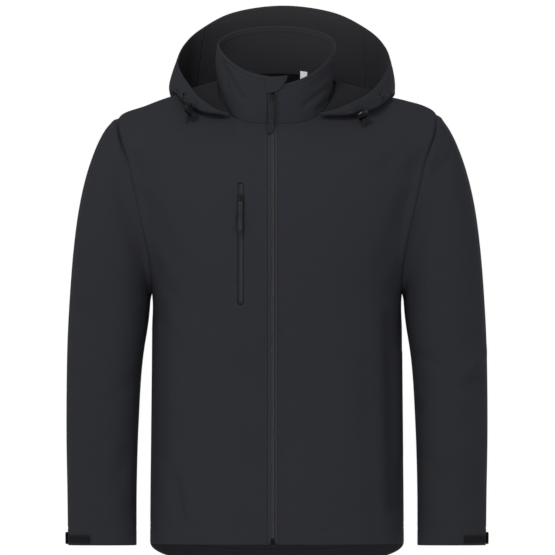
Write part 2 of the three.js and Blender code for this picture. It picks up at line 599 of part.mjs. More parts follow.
add("main_zip_coil", "zip", laidOn(zipSpot, COIL_ROWS, [-COIL_HALF, COIL_HALF], -COIL_SINK, COIL_WALL), main);

// Sliders and pulls, drawn with x across, y up the zip and z outwards from the face of the cloth
const block = (x, y, z, w, l, h) => new THREE.BoxGeometry(w, l, h).translate(x, y, z + h / 2);
function plate(outlinePoints, z, thick) {
  const shape = new THREE.Shape(outlinePoints.map(([x, y]) => new THREE.Vector2(x, y)));
  return new THREE.ExtrudeGeometry(shape, { depth: thick, bevelEnabled: false }).translate(0, 0, z);
}
const joined = (pieces) => geometryOf(pieces.map(solidOf).reduce((whole, piece) => whole.add(piece)));
const SLIDER_OUTLINE = [[-3.6, -6], [3.6, -6], [4.6, -3], [5, 3], [3.8, 6], [-3.8, 6], [-5, 3], [-4.6, -3]];
const slider = joined([
  plate(SLIDER_OUTLINE, 0.3, 1.4),
  plate(SLIDER_OUTLINE, -4, 1),
  block(0, 3.6, -3.6, 2.4, 3, 4.6),
  block(0, -3.5, 1.4, 2.4, 1.2, 3.4),
  block(0, 3.5, 1.4, 2.4, 1.2, 3.4),
  block(0, 0, 4.1, 2.4, 8.2, 1.1),
]);
const GRIP_OUTLINE = [
  [-2.9, -7], [2.9, -7], [3.6, -11], [3.2, -30], [4.2, -44], [4, -52], [2.4, -PULL_LENGTH],
  [-2.4, -PULL_LENGTH], [-4, -52], [-4.2, -44], [-3.2, -30], [-3.6, -11],
];
const pullWith = (lean) => joined([
  new THREE.CylinderGeometry(0.8, 0.8, 5.8, 8).rotateZ(Math.PI / 2),
  block(2.2, -4, -0.7, 1.4, 8.4, 1.4),
  block(-2.2, -4, -0.7, 1.4, 8.4, 1.4),
  plate(GRIP_OUTLINE.map(([x, y]) => [x + (y + 7) * lean, y]), -1.2, 2.4),
]);
function addSlider(name, spot, across, up, rest, parent) {
  add(`${name}_slider`, "hardware", placed(slider, spot.point, across, up), parent);
  const out = across.clone().cross(up).normalize();
  const pivot = spot.point.clone().addScaledVector(out, PIVOT_OUT);
  const tilted = up.clone().applyAxisAngle(across, -radians(rest.tilt));
  add(`${name}_pull`, "grip", placed(pullWith(rest.lean), pivot, across, tilted), parent);
}
const sliderV = NECK + SLIDER_UP;
const sliderUp = zipSpot(sliderV + 0.03, 0).point.sub(zipSpot(sliderV - 0.03, 0).point).setX(0).normalize();
addSlider("main", zipSpot(sliderV, 0), new THREE.Vector3(1, 0, 0), sliderUp, { tilt: 11, lean: 0.11 }, main);
const boxSpot = zipSpot(0.07, 0);
const boxUp = zipSpot(0.12, 0).point.sub(zipSpot(0.02, 0).point).setX(0).normalize();
const zipBox = block(0, 0, -COIL_SINK - 1.6, 2 * COIL_HALF, 9, 3);
add("main_zip_box", "hardware", placed(zipBox, boxSpot.point, new THREE.Vector3(1, 0, 0), boxUp), main);

// Chin guard over the top of the main zip: a rounded flap whose lower edge climbs to the wearer's left
const GUARD = { from: -11, to: 22.5, low: 0.645, climb: 0.3, top: 0.99, lift: 0.7, wall: 1.4 };
const guardWidths = steps(GUARD.from, GUARD.to, 8);
function guardSpot(share, width) {
  const along = (width - GUARD.from) / (GUARD.to - GUARD.from);
  return zipSpot(NECK + mix(GUARD.low + GUARD.climb * along ** 3, GUARD.top, share), width);
}
const guardWall = laidOn(guardSpot, steps(0, 1, 3), guardWidths, GUARD.lift + GUARD.wall, GUARD.wall);
add("chin_guard", "softshell", guardWall);

// Chest pocket zip
const pocket = new THREE.Group();
pocket.name = "chest_pocket";
jacket.add(pocket);
const pocketRows = steps(POCKET.bottom + 4.5, POCKET.top - 4.5, 10);
const pocketCoilRows = steps(POCKET.bottom + 6, POCKET.sliderZ - 2, 9);
const onPocket = (z, dx) => pocketSpot(z, dx);
const pocketTape = (from, to) => laidOn(onPocket, pocketRows, [from, to], -TAPE_SINK, TAPE);
const tapeOut = POCKET.slot / 2 - 0.8;
add("pocket_zip_tape_right", "zip", pocketTape(-tapeOut, -POCKET.coilHalf - SEAM), pocket);
add("pocket_zip_tape_left", "zip", pocketTape(POCKET.coilHalf + SEAM, tapeOut), pocket);
const pocketCoil = laidOn(onPocket, pocketCoilRows, [-POCKET.coilHalf, POCKET.coilHalf], -COIL_SINK, COIL_WALL);
add("pocket_zip_coil", "zip", pocketCoil, pocket);
const pz = POCKET.sliderZ;
addSlider("pocket", pocketSpot(pz), pocketAcross(pz), pocketUp(pz), { tilt: 1.5, lean: 0 }, pocket);

// Cuffs: a strap end wraps round the outside from the back, and its loop patch lies on the front
const CUFF = { low: 10.93, high: 10.73, lift: 0.45 };
const PATCH = { from: 108, to: 162, wall: 1 };
const TAB = { from: 174, to: 270, low: 10.96, high: 10.67, wall: 1.8, proud: 2.2, proudTo: 192, proudOver: 18 };
function cuffPiece(side, low, high, arounds, lift, thick) {
  const spot = (at, around) => {
    return { point: sleeveForm(side, at, around), normal: sleeveNormal(side, at, around) };
  };
  return laidOn(spot, [low, high], arounds, lift, thick);
}
const patchArounds = steps(PATCH.from, PATCH.to, 3);
const tabArounds = [TAB.from, ...steps(180, TAB.to, 5)];
const tabLift = (at, around) =>
  CUFF.lift + TAB.wall + TAB.proud * clamp01((TAB.proudTo - around) / TAB.proudOver);
for (const [word, side] of [["right", -1], ["left", 1]]) {
  const patch = cuffPiece(side, CUFF.low, CUFF.high, patchArounds, CUFF.lift + PATCH.wall, PATCH.wall);
  add(`cuff_patch_${word}`, "loops", patch);
  const tab = cuffPiece(side, TAB.low, TAB.high, tabArounds, tabLift, TAB.wall);
  add(`cuff_tab_${word}`, "softshell", tab);
}

// Neck label, hanging inside the collar
const LABEL = { from: 146, to: 154.5, up: 0.08, length: 22, wall: 0.6 };
function labelSpot(drop, angle) {
  const normal = collarNormal(angle, LABEL.up);
  const point = collarForm(angle, LABEL.up).addScaledVector(normal, -COLLAR_CLOTH - SEAM);
  point.z -= drop;
  return { point, normal };
}
add("neck_label", "label", laidOn(labelSpot, [LABEL.length, 0], [LABEL.from, LABEL.to], -0.2, LABEL.wall));

// Cord locks at the front of the hood: the middle of each barrel, the way its plunger points and the way the
// cord comes in, then the hand-set routes of the cord. The first point of a route is the eyelet's.
const CORD_RADIUS = 1.3;
const BARREL = { radius: 7.2, length: 13, bore: 4.9, depth: 11, sides: 12 };
const EYELET = { radius: 4, hole: 2, wall: 1 };
const PLUNGER = { radius: 4.5, length: 12.6, proud: 5 };
const LOCKS = [
  {
    word: "right", at: [-137, -54, -17], axis: [-0.707, 0, 0.707], eyelet: [270, 1.6],
    route: [[-150, -40, 6], [-143, -47, 4], [-132, -52, -3], [-131.1, -54, -11.1]],
    end: [[-142.9, -54, -22.9], [-144.4, -54, -26], [-143.6, -53.6, -31], [-141.6, -53, -35]],
  },
  {
    word: "left", at: [133, -58, -24], axis: [0.891, 0, 0.454], eyelet: [90, 1.6],
    route: [[160, -41, 2], [150, -50, -1], [134, -57, -7], [129.2, -58, -16.6]],
    end: [[136.8, -58, -31.4], [137.8, -58, -34.5], [137.2, -57.4, -38], [135, -57, -42]],
  },
];
const vector = (xyz) => new THREE.Vector3(...xyz);
function cordTube(points) {
  const circle = new THREE.Shape().absarc(0, 0, CORD_RADIUS, 0, 2 * Math.PI);
  const extrudePath = new THREE.CatmullRomCurve3(points);
  const steps = 2 * points.length;
  return new THREE.ExtrudeGeometry(circle, { steps, extrudePath, bevelEnabled: false, curveSegments: 4 });
}
const rod = (radius, length, y) =>
  new THREE.CylinderGeometry(radius, radius, length, BARREL.sides).translate(0, y, 0);
const mouth = BARREL.length / 2;
const boreRod = rod(BARREL.bore, BARREL.depth + 1, mouth + 0.5 - BARREL.depth / 2);
const barrel = geometryOf(solidOf(rod(BARREL.radius, BARREL.length, 0)).subtract(solidOf(boreRod)));
const plunger = rod(PLUNGER.radius, PLUNGER.length, mouth + PLUNGER.proud - PLUNGER.length / 2);
const eyeletHole = solidOf(rod(EYELET.hole, EYELET.wall + 2, 0));
const eyeletDisc = solidOf(rod(EYELET.radius, EYELET.wall, 0));
const eyelet = geometryOf(eyeletDisc.subtract(eyeletHole)).rotateX(Math.PI / 2);
for (const lock of LOCKS) {
  const group = new THREE.Group();
  group.name = `cord_lock_set_${lock.word}`;
  jacket.add(group);
  const axis = vector(lock.axis).normalize();
  const turn = new THREE.Quaternion().setFromUnitVectors(new THREE.Vector3(0, 1, 0), axis);
  const seated = (geometry) => geometry.clone().applyQuaternion(turn).translate(...lock.at);
  add(`cord_lock_${lock.word}`, "hardware", seated(barrel), group);
  add(`cord_plunger_${lock.word}`, "grip", seated(plunger), group);
  const [angle, along] = lock.eyelet;
  const [point, normal] = [hoodForm(angle, along), hoodNormal(angle, along)];
  const across = normal.clone().cross(new THREE.Vector3(0, 0, 1)).negate();
  const seat = point.clone().addScaledVector(normal, EYELET.wall / 2 + SEAM);
  const ring = placed(eyelet, seat, across, normal.clone().cross(across).negate());
  add(`hood_eyelet_${lock.word}`, "hardware", ring, group);
  const start = [point.clone().addScaledVector(normal, 0.9), point.clone().addScaledVector(normal, 4)];
  add(`hood_cord_${lock.word}`, "cord", cordTube([...start, ...lock.route.map(vector)]), group);
  add(`hood_cord_end_${lock.word}`, "cord", cordTube(lock.end.map(vector)), group);
}

export default jacket;
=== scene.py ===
import math

import bmesh
import bpy
import numpy as np
from mathutils import Matrix, Vector
from mathutils.bvhtree import BVHTree


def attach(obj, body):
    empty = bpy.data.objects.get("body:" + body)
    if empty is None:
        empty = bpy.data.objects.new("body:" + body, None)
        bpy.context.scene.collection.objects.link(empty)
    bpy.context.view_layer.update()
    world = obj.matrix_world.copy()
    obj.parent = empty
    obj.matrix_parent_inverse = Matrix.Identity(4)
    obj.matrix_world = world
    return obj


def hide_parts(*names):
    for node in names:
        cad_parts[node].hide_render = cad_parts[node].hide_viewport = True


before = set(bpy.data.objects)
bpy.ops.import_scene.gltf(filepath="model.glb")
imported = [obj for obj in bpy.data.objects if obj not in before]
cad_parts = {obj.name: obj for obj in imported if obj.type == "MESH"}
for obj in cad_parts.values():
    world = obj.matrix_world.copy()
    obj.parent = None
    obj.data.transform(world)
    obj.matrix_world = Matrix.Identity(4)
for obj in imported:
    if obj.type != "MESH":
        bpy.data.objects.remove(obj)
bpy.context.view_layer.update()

MM = 0.001

# Camera, so far off that the picture is nearly flat
PIXEL = 1.58 * MM  # what one pixel of the picture spans on the jacket
PICTURE = 555
CAMERA_FAR = 30.0
SENSOR = 36
camera_data = bpy.data.cameras.new("camera")
camera = bpy.data.objects.new("camera", camera_data)
bpy.context.scene.collection.objects.link(camera)
camera.location = (0.0008, -CAMERA_FAR, -0.2805)
camera.rotation_euler = (math.pi / 2, 0, 0)
camera_data.sensor_width = SENSOR
camera_data.lens = SENSOR * CAMERA_FAR / (PICTURE * PIXEL)
camera_data.clip_end = 4 * CAMERA_FAR
bpy.context.scene.camera = camera
bpy.context.scene.view_settings.view_transform = "Standard"


# Shader groups and materials
def node_group(name, inputs, outputs):
    group = bpy.data.node_groups.new(name, "ShaderNodeTree")
    for word, kind, value in inputs:
        socket = group.interface.new_socket(name=word, in_out="INPUT", socket_type=kind)
        if value is not None:
            socket.default_value = value
    for word, kind in outputs:
        group.interface.new_socket(name=word, in_out="OUTPUT", socket_type=kind)
    return group, group.nodes.new("NodeGroupInput"), group.nodes.new("NodeGroupOutput")


def add_node(tree, kind, **values):
    node = tree.nodes.new(kind)
    for key, value in values.items():
        if key in node.bl_rna.properties.keys():
            setattr(node, key, value)
        else:
            node.inputs[key.replace("_", " ")].default_value = value
    return node


def sum_of(tree, operation, first, second):
    node = tree.nodes.new("ShaderNodeMath")
    node.operation = operation
    for socket, value in zip(node.inputs, (first, second)):
        if isinstance(value, (int, float)):
            socket.default_value = value
        else:
            tree.links.new(value, socket)
    return node.outputs[0]


def scaled(tree, value, by, plus):
    node = tree.nodes.new("ShaderNodeMath")
    node.operation = "MULTIPLY_ADD"
    tree.links.new(value, node.inputs[0])
    node.inputs[1].default_value = by
    node.inputs[2].default_value = plus
    return node.outputs[0]


def weave_group():
    """Crossing threads on a flat cut: the height of the cloth face and how dark its gaps are."""
    group, start, end = node_group(
        "crossing threads",
        [("Vector", "NodeSocketVector", None), ("Threads per metre", "NodeSocketFloat", 900.0),
         ("Slub", "NodeSocketFloat", 0.4)],
        [("Height", "NodeSocketFloat"), ("Gap", "NodeSocketFloat")],
    )
    scaled = add_node(group, "ShaderNodeVectorMath", operation="SCALE")
    group.links.new(start.outputs["Vector"], scaled.inputs[0])
    group.links.new(start.outputs["Threads per metre"], scaled.inputs["Scale"])
    split = group.nodes.new("ShaderNodeSeparateXYZ")
    group.links.new(scaled.outputs[0], split.inputs[0])
    waves = []
    for axis in ("X", "Y"):
        turned = sum_of(group, "MULTIPLY", split.outputs[axis], math.pi)
        sine = sum_of(group, "SINE", turned, 0.0)
        waves.append(sum_of(group, "ABSOLUTE", sine, 0.0))
    height = sum_of(group, "MULTIPLY", waves[0], waves[1])
    noise = add_node(group, "ShaderNodeTexNoise", Scale=0.12, Detail=2.0, Roughness=0.6)
    group.links.new(scaled.outputs[0], noise.inputs["Vector"])
    slub = sum_of(group, "MULTIPLY", noise.outputs["Fac"], start.outputs["Slub"])
    group.links.new(sum_of(group, "ADD", height, slub), end.inputs["Height"])
    group.links.new(sum_of(group, "SUBTRACT", 1.0, height), end.inputs["Gap"])
    return group


def wear_group():
    """Uneven tone over a piece: a large soft patchiness and a fine speckle, each from 0 to 1."""
    group, start, end = node_group(
        "uneven tone",
        [("Vector", "NodeSocketVector", None), ("Patch size", "NodeSocketFloat", 9.0),
         ("Speckle size", "NodeSocketFloat", 700.0)],
        [("Patches", "NodeSocketFloat"), ("Speckle", "NodeSocketFloat")],
    )
    for word, scale, detail in (("Patches", "Patch size", 3.0), ("Speckle", "Speckle size", 1.0)):
        noise = add_node(group, "ShaderNodeTexNoise", Detail=detail, Roughness=0.55)
        group.links.new(start.outputs["Vector"], noise.inputs["Vector"])
        group.links.new(start.outputs[scale], noise.inputs["Scale"])
        group.links.new(noise.outputs["Fac"], end.inputs[word])
    return group


WEAVE = weave_group()
WEAR = wear_group()


def finish_material(name, colour, roughness, threads=0, bump=0.0, sheen=0.0, specular=0.3, patch=0.12,
                    speckle=0.1, painted_facing_shade=None):
    """A material of the jacket: one colour made uneven by the tone group, with a weave where it has threads.
    The last argument paints light and shade into the colour by the upward part of the facing: from, to, and the
    shade at each."""
    material = bpy.data.materials.new(name)
    material.use_nodes = True
    tree = material.node_tree
    shader = tree.nodes["Principled BSDF"]
    shader.inputs["Specular IOR Level"].default_value = specular
    shader.inputs["Sheen Weight"].default_value = sheen
    shader.inputs["Sheen Roughness"].default_value = 0.55
    place = tree.nodes.new("ShaderNodeTexCoord")
    tone = tree.nodes.new("ShaderNodeGroup")
    tone.node_tree = WEAR
    tree.links.new(place.outputs["Object"], tone.inputs["Vector"])
    level = scaled(tree, tone.outputs["Patches"], patch, 1 - patch / 2)
    level = sum_of(tree, "MULTIPLY", level, scaled(tree, tone.outputs["Speckle"], speckle, 1 - speckle / 2))
    height = tone.outputs["Speckle"]
    # painted light and shade: colour darker where the surface faces up, lighter where it faces sideways
    if painted_facing_shade:
        split = tree.nodes.new("ShaderNodeSeparateXYZ")
        tree.links.new(place.outputs["Normal"], split.inputs[0])
        lie = tree.nodes.new("ShaderNodeMapRange")
        lie.interpolation_type = "SMOOTHSTEP"
        for word, value in zip(("From Min", "From Max", "To Min", "To Max"), painted_facing_shade):
            lie.inputs[word].default_value = value
        tree.links.new(split.outputs["Z"], lie.inputs["Value"])
        level = sum_of(tree, "MULTIPLY", level, lie.outputs[0])
    if threads:
        weave = tree.nodes.new("ShaderNodeGroup")
        weave.node_tree = WEAVE
        weave.inputs["Threads per metre"].default_value = threads
        tree.links.new(place.outputs["UV"], weave.inputs["Vector"])
        height = weave.outputs["Height"]
        level = sum_of(tree, "MULTIPLY", level, scaled(tree, weave.outputs["Gap"], -0.25, 1.1))
    shade = add_node(tree, "ShaderNodeVectorMath", operation="SCALE")
    shade.inputs[0].default_value = colour
    tree.links.new(level, shade.inputs["Scale"])
    tree.links.new(shade.outputs[0], shader.inputs["Base Color"])
    tree.links.new(scaled(tree, tone.outputs["Patches"], 0.12, roughness - 0.06), shader.inputs["Roughness"])
    if bump:
        relief = add_node(tree, "ShaderNodeBump", Strength=1.0, Distance=bump)
        tree.links.new(height, relief.inputs["Height"])
        tree.links.new(relief.outputs[0], shader.inputs["Normal"])
    return material


FACE = finish_material("softshell face", (0.0195, 0.0202, 0.0244), 0.95, threads=1100, bump=0.00012,
                       specular=0.06)
LINING = finish_material("brushed lining", (0.0205, 0.0208, 0.0232), 1.0, bump=0.0006, sheen=0.02,
                         specular=0.03, speckle=0.3)
# the hood lining's colour carries painted shade where it faces up and painted light where it faces sideways
HOOD_LINING_PAINTED_SHADE = finish_material("brushed hood lining with painted light and shade", (0.0215, 0.0218, 0.0242), 1.0, bump=0.0006, sheen=0.02,
                              specular=0.02, speckle=0.3,
                              painted_facing_shade=(0.15, 0.75, 1.25, 0.55))
TAPE = finish_material("zip tape", (0.0175, 0.0182, 0.022), 0.7, threads=1500, bump=0.0001, specular=0.14)
COIL = finish_material("zip coil", (0.024, 0.0248, 0.028), 0.24, specular=0.8, speckle=0.06)
THREAD = finish_material("sewing thread", (0.0215, 0.0222, 0.026), 0.6, specular=0.3, speckle=0.2)
MOULDED = finish_material("moulded plastic", (0.0012, 0.0013, 0.0016), 0.2, bump=0.00003, specular=0.1)
GRIP = finish_material("soft grip", (0.0085, 0.0088, 0.0108), 0.42, bump=0.00005, specular=0.12)
SLIDER = finish_material("lacquered slider", (0.0015, 0.0016, 0.002), 0.14, specular=0.22, speckle=0.05)
# pale colour that paints the glint on a pull's ridge
PAINTED_GLINT = finish_material("ridge with painted glint", (0.07, 0.071, 0.075), 0.35, specular=0.5)
LOOPS = finish_material("fastener loops", (0.0085, 0.0085, 0.0095), 1.0, bump=0.0012, specular=0.03,
                        speckle=0.6)
CORD = finish_material("braided cord", (0.0085, 0.0087, 0.0102), 0.75, threads=0, bump=0.0003, specular=0.2)
LABEL = finish_material("label ribbon", (0.78, 0.78, 0.77), 0.55, threads=2200, bump=0.00006, specular=0.3,
                        patch=0.03, speckle=0.03)


# Forms of the cloth, in millimetres as drawn
CLOTH = 2.0
COLLAR_CLOTH = 3.0
SEAM = 0.3
SEWN = 0.03  # what is left between two pieces once their seam is drawn tight
ZIP_X = -6.5
FRONT_GAP = 8.0
# how far the cloth is drawn out at the armhole: over each shoulder, and forwards and backwards at mid height
SHOULDER_LIFT = {-1: 1.5, 1: 3}
ARMHOLE_LIFT = 12
LIFT_REACH = 16
COLLAR_BULGE = 6  # how far it stands out at mid height on the wearer's right
COLLAR_SLUMP = 14  # how much lower the collar's rim stands on the wearer's left of the zip
COLLAR_HEIGHT = 72
COLLAR_RIM = {"side": 94, "front": 86, "back": 56, "side_z": 88, "front_z": 37, "back_z": 118}
COIL_HALF = 2.7
ARMPIT, SHOULDER, NECK = 5, 9, 12  # rows of BODY where the armholes and the collar start
ARMHOLE_FRONT, ARMHOLE_BACK = 20, 23  # degrees that an armhole cuts into the front and the back
LEFT_SHOULDER = {"raise": 8, "x": 222, "reach": 42, "reach_y": 45, "low": -140, "fade": 80}
HOOD_START = 11.9  # row of BODY where the hood is sewn on
HOOD_OFF = 1.7  # how far it lies off the body
HOOD_SKEW = 0.2
HOOD_SEAMS = (153, 207)
HEM_LINES = (25, 32)  # stitch rows above the hem
HOOD_HEM = 14
EDGE_LINE = 14.0  # stitch rows beside the zip, from its middle
POCKET = {"x": -57, "top": -131, "bottom": -324, "slot": 9.4, "coil_half": 2.1, "slider_z": -156}
# half width and height of the side, depth and height of the front and back middle, roundness
BODY = np.array([
    [200.5, -700, -128, -701, 124, -738, 2.5], [200, -620, -125, -621, 119, -640, 2.5],
    [199, -525, -121, -524, 110, -530, 2.5], [198, -430, -123, -430, 107, -430, 2.5],
    [197.5, -365, -129, -365, 111, -365, 2.45], [197.5, -306, -133, -306, 118, -306, 2.4],
    [213, -235, -136, -240, 126, -236, 2.4], [232, -160, -130, -175, 128, -166, 2.35],
    [242, -88, -119, -125, 125, -105, 2.3], [249, -30, -108, -92, 116, -58, 2.25],
    [205, -8, -99, -73, 102, -20, 2.15], [150, 11, -89, -56, 84, 14, 2.05], [88, 24, -78, -38, 62, 42, 2],
])
# outermost x and z, innermost x and z, middle depth, half depths to the front and back
SLEEVE = np.array([
    [258, -33, 199.8, -317, 2, 56, 60], [272.5, -49, 200.4, -325, 2, 63, 66],
    [287.5, -79, 201.2, -335, 1, 69, 70],
    [302, -122, 202.6, -348, 1, 73, 72], [313.5, -175, 205, -365, 0, 74, 72],
    [321.5, -237, 208.5, -386, -2, 72, 70],
    [327, -305, 212, -412, -2, 68, 67], [331, -380, 215, -446, -3, 64, 63],
    [332.5, -460, 217.5, -492, -6, 60, 60],
    [332.5, -540, 220, -552, -11, 55, 56], [331, -622, 221.5, -624, -17, 49, 51],
    [330, -703, 221.5, -703, -24, 43, 45],
])
# angle, row, roll, rim x, y, z, shift
HOOD = np.array([
    [50, 11.7, 7, 71, -62, -21, -5], [62, 11.3, 11, 94, -60, -15, -2], [74, 11.0, 14, 115, -52, -4, 3],
    [86, 10.8, 16, 134, -40, 8, 7], [98, 10.68, 17, 149, -22, 24, 10], [110, 10.55, 19, 161, 2, 42, 10],
    [122, 10.35, 23, 168, 30, 62, 10.5], [136, 9.9, 30, 159, 63, 88, 11], [150, 9.1, 38, 132, 93, 114, 11],
    [165, 8.2, 44, 79, 116, 141, 10], [180, 7.9, 46, 0, 125, 152, 10],
])
# the same past the back middle, so that the curve passes it level
HOOD_ROUND = np.concatenate([HOOD, HOOD[-2:-1] * [1, 1, 1, -1, 1, 1, 1]])
# troughs: a line from x, z to x, z seen from the front, its depth and half width; a negative depth is a ridge
FRONT_FOLDS = [
    (181, -345, 187, -640, 7, 13), (196, -400, 198, -560, -3, 7), (-183, -330, -186, -560, 3, 12),
    (-161, -600, -150, -662, 3.5, 9), (213, -62, 172, -104, 3, 12), (-205, -160, -160, -250, 3, 16),
    (202, -165, 168, -262, 3, 16),
]
FRONT_CREASES = [
    (-190, -345, -150, -392, 1.6, 10), (-160, -604, -152, -655, 1.8, 5), (-172, -500, -140, -560, 1.3, 14),
    (-128, -337, -70, -340, 0.8, 6), (-116, -360, -88, -362, 0.6, 5), (4, -364, 84, -366, 0.7, 7),
    (103, -324, 110, -343, 1.2, 4), (120, -180, 185, -236, 1.5, 18), (60, -250, 120, -330, 1.0, 26),
    (-60, -430, -120, -520, 1.2, 26), (40, -470, 100, -600, 1.3, 24), (-30, -560, -60, -680, 1.0, 22),
    (140, -420, 150, -650, 2.2, 16), (-110, -140, -170, -210, 1.2, 18), (44, -12, 76, 16, 0.9, 5),
    (-70, -24, -64, -57, 1.6, 5), (-58, -22, -53, -52, -1.0, 5), (120, -80, 190, -120, 0.9, 14),
    (-196, -250, -170, -300, 1.8, 9), (196, -262, 174, -304, 1.8, 9), (150, -690, 158, -660, 1.0, 8),
    (-95, -600, -90, -690, 1.2, 15), (95, -640, 90, -695, 1.2, 14), (20, -640, 30, -695, 0.9, 12),
]
BACK_CREASES = [
    (-175, -60, -120, -160, 2.4, 20), (178, -66, 118, -150, 2.2, 19), (-90, -180, -30, -250, 1.6, 26),
    (100, -190, 30, -262, 1.8, 24), (-186, -280, -110, -330, 2.6, 15), (182, -272, 96, -332, 2.8, 16),
    (-60, -350, 70, -338, 2.0, 20), (-150, -400, 20, -420, 1.8, 22), (150, -410, 10, -442, 1.6, 20),
    (-130, -480, -100, -660, 2.2, 20), (126, -500, 118, -680, 2.4, 19), (-20, -520, -34, -690, 1.5, 22),
    (52, -560, 60, -710, 1.4, 20), (-180, -420, -168, -600, 2.0, 12), (184, -440, 170, -610, 2.2, 12),
    (-50, 10, -34, -60, 1.3, 14), (60, 6, 40, -58, 1.2, 15),
]
SLEEVE_FOLDS = {
    1: [(240, -112, 272, -90, 5, 7), (236, -128, 250, -190, -2, 10), (304, -428, 330, -396, -4, 9),
        (300, -452, 332, -424, 4, 10), (224, -482, 214, -500, 3, 7)],
    -1: [(-308, -158, -296, -188, 3.5, 10), (-326, -318, -300, -345, 4, 11),
         (-330, -430, -306, -452, 3.5, 11),
         (-330, -520, -312, -545, 3, 10), (-238, -560, -252, -600, 3, 12)],
}
SLEEVE_CREASES = {
    1: [(210, -300, 262, -262, 2.2, 10), (214, -336, 270, -318, 1.6, 12), (262, -180, 268, -330, 1.6, 20),
        (222, -404, 262, -420, 1.8, 9), (330, -360, 296, -386, 1.8, 8), (320, -500, 276, -532, 1.8, 12),
        (224, -560, 258, -590, 1.6, 11), (330, -600, 292, -640, 1.6, 13), (232, -650, 250, -690, 1.2, 10),
        (290, -110, 306, -180, 1.4, 14), (246, -60, 262, -80, 1.2, 8)],
    -1: [(-210, -300, -258, -268, 2.2, 10), (-214, -340, -268, -316, 1.6, 12),
         (-262, -190, -270, -330, 1.5, 20),
         (-330, -380, -290, -402, 1.6, 9), (-222, -440, -262, -470, 1.8, 11),
         (-328, -560, -290, -604, 1.6, 13),
         (-226, -640, -262, -668, 1.4, 11), (-300, -650, -286, -696, 1.2, 12),
         (-252, -70, -240, -110, 1.4, 10)],
}
SLEEVE_BACK_CREASES = [
    (214, -318, 268, -276, 2.6, 12), (222, -352, 280, -330, 2.0, 13), (326, -350, 284, -372, 2.4, 11),
    (328, -400, 278, -428, 3.0, 12), (224, -452, 270, -436, 2.6, 10), (322, -476, 274, -500, 2.2, 13),
    (230, -560, 270, -590, 1.8, 14), (318, -610, 280, -650, 1.6, 14), (280, -120, 296, -200, 2.0, 16),
]


def between(rows, at):
    """The columns of a value table read between its rows on a smooth curve."""
    last = len(rows) - 1
    first = np.clip(np.floor(at), 0, last - 1).astype(int)
    share = (at - first)[..., None]
    a, b, c, d = (rows[np.clip(first + k, 0, last)] for k in (-1, 0, 1, 2))
    found = b + 0.5 * share * (c - a + share * (2 * a - 5 * b + 4 * c - d + share * (3 * (b - c) + d - a)))
    return np.moveaxis(found, -1, 0)


def power(value, exponent):
    return np.sign(value) * np.abs(value) ** exponent


def mix(first, second, share):
    return first + (second - first) * share


def turned(angle):
    return np.sin(np.radians(angle)), np.cos(np.radians(angle))


def unit(vectors):
    return vectors / np.linalg.norm(vectors, axis=-1, keepdims=True)


def fold_depth(folds, x, z):
    depth = np.zeros_like(x)
    for x0, z0, x1, z1, deep, wide in folds:
        dx, dz = x1 - x0, z1 - z0
        share = np.clip(((x - x0) * dx + (z - z0) * dz) / (dx * dx + dz * dz), 0, 1)
        away = ((x - x0 - dx * share) ** 2 + (z - z0 - dz * share) ** 2) / wide ** 2
        depth += deep * np.exp(-away)
    return depth


def normal_of(surface, a, b, da, db):
    across = surface(a + da, b) - surface(a - da, b)
    up = surface(a, b + db) - surface(a, b - db)
    return unit(np.cross(across, up))


def raised(point):
    """The form's points with the wearer's left shoulder standing a little higher, as in the solids."""
    x, y, z = np.moveaxis(point, -1, 0)
    left = LEFT_SHOULDER
    low = np.clip((z - left["low"]) / left["fade"], 0, 1)
    hump = np.exp(-((x - left["x"]) / left["reach"]) ** 2 - (y / left["reach_y"]) ** 2)
    return np.stack([x, y, z + left["raise"] * hump * low * low * (3 - 2 * low) * (x > 0)], -1)


def body_form(row, angle):
    """The plain form of fronts and back. angle is 0 at the front middle and 90 at the wearer's left side."""
    row, angle = np.broadcast_arrays(np.clip(row, 0, NECK) * 1.0, angle * 1.0)
    side, side_z, front, front_z, back, back_z, roundness = between(BODY, row)
    s, c = turned(angle)
    p = 2 / roundness
    ahead, behind = np.clip(c, 0, None), np.clip(-c, 0, None)
    climb = 1 - (1 - ahead) ** 1.5
    x = side * power(s, p) + ZIP_X * ahead * ahead
    y = np.where(c > 0, front * ahead ** p, back * behind ** p)
    z = np.where(c > 0, mix(side_z, front_z, climb), mix(side_z, back_z, behind))
    return raised(np.stack([x, y, z], -1))


def body_normal(row, angle):
    row, angle = np.broadcast_arrays(np.clip(row, 0.02, NECK - 0.02) * 1.0, angle * 1.0)
    beside = angle % 180
    level = np.where(np.abs(beside - 90) < 1, angle - beside + 90, angle)
    return normal_of(body_form, row, level, -0.02, 0.3)


def body(row, angle):
    """The body with the main folds of its front pressed in, drawn out beside the armholes."""
    row, angle = np.broadcast_arrays(row * 1.0, angle * 1.0)
    point = body_form(row, angle)
    _, c = turned(angle)
    turned_in = (angle + 180) % 360 - 180
    fade = np.clip((90 - np.abs(turned_in)) / 6, 0, 1) * (c > 0)
    depth = fold_depth(FRONT_FOLDS, point[..., 0], point[..., 2]) * fade
    return point - body_normal(row, angle) * depth[..., None] + drawn_out(point)


def body_creases(row, angle):
    """Depth of the finer creases of the front and back."""
    point = body_form(row, angle)
    _, c = turned(angle)
    turned_in = np.abs((angle + 180) % 360 - 180)
    front = fold_depth(FRONT_CREASES, point[..., 0], point[..., 2]) * np.clip((90 - turned_in) / 8, 0, 1)
    back = fold_depth(BACK_CREASES, point[..., 0], point[..., 2]) * np.clip((turned_in - 90) / 8, 0, 1)
    return np.where(c > 0, front, back)


def angle_at_width(row, width):
    side, _, _, _, _, _, roundness = between(BODY, np.asarray(row, float))
    return np.degrees(np.arcsin((width / side) ** (roundness / 2)))


def armhole_row(around):
    return mix(ARMPIT, SHOULDER, (1 - np.cos(np.radians(around))) / 2)


def armhole_cut(around, depth):
    return depth * np.sin(np.radians(around))


def seam_angle(row):
    return np.degrees(SEWN / 2) / between(BODY, row)[0]


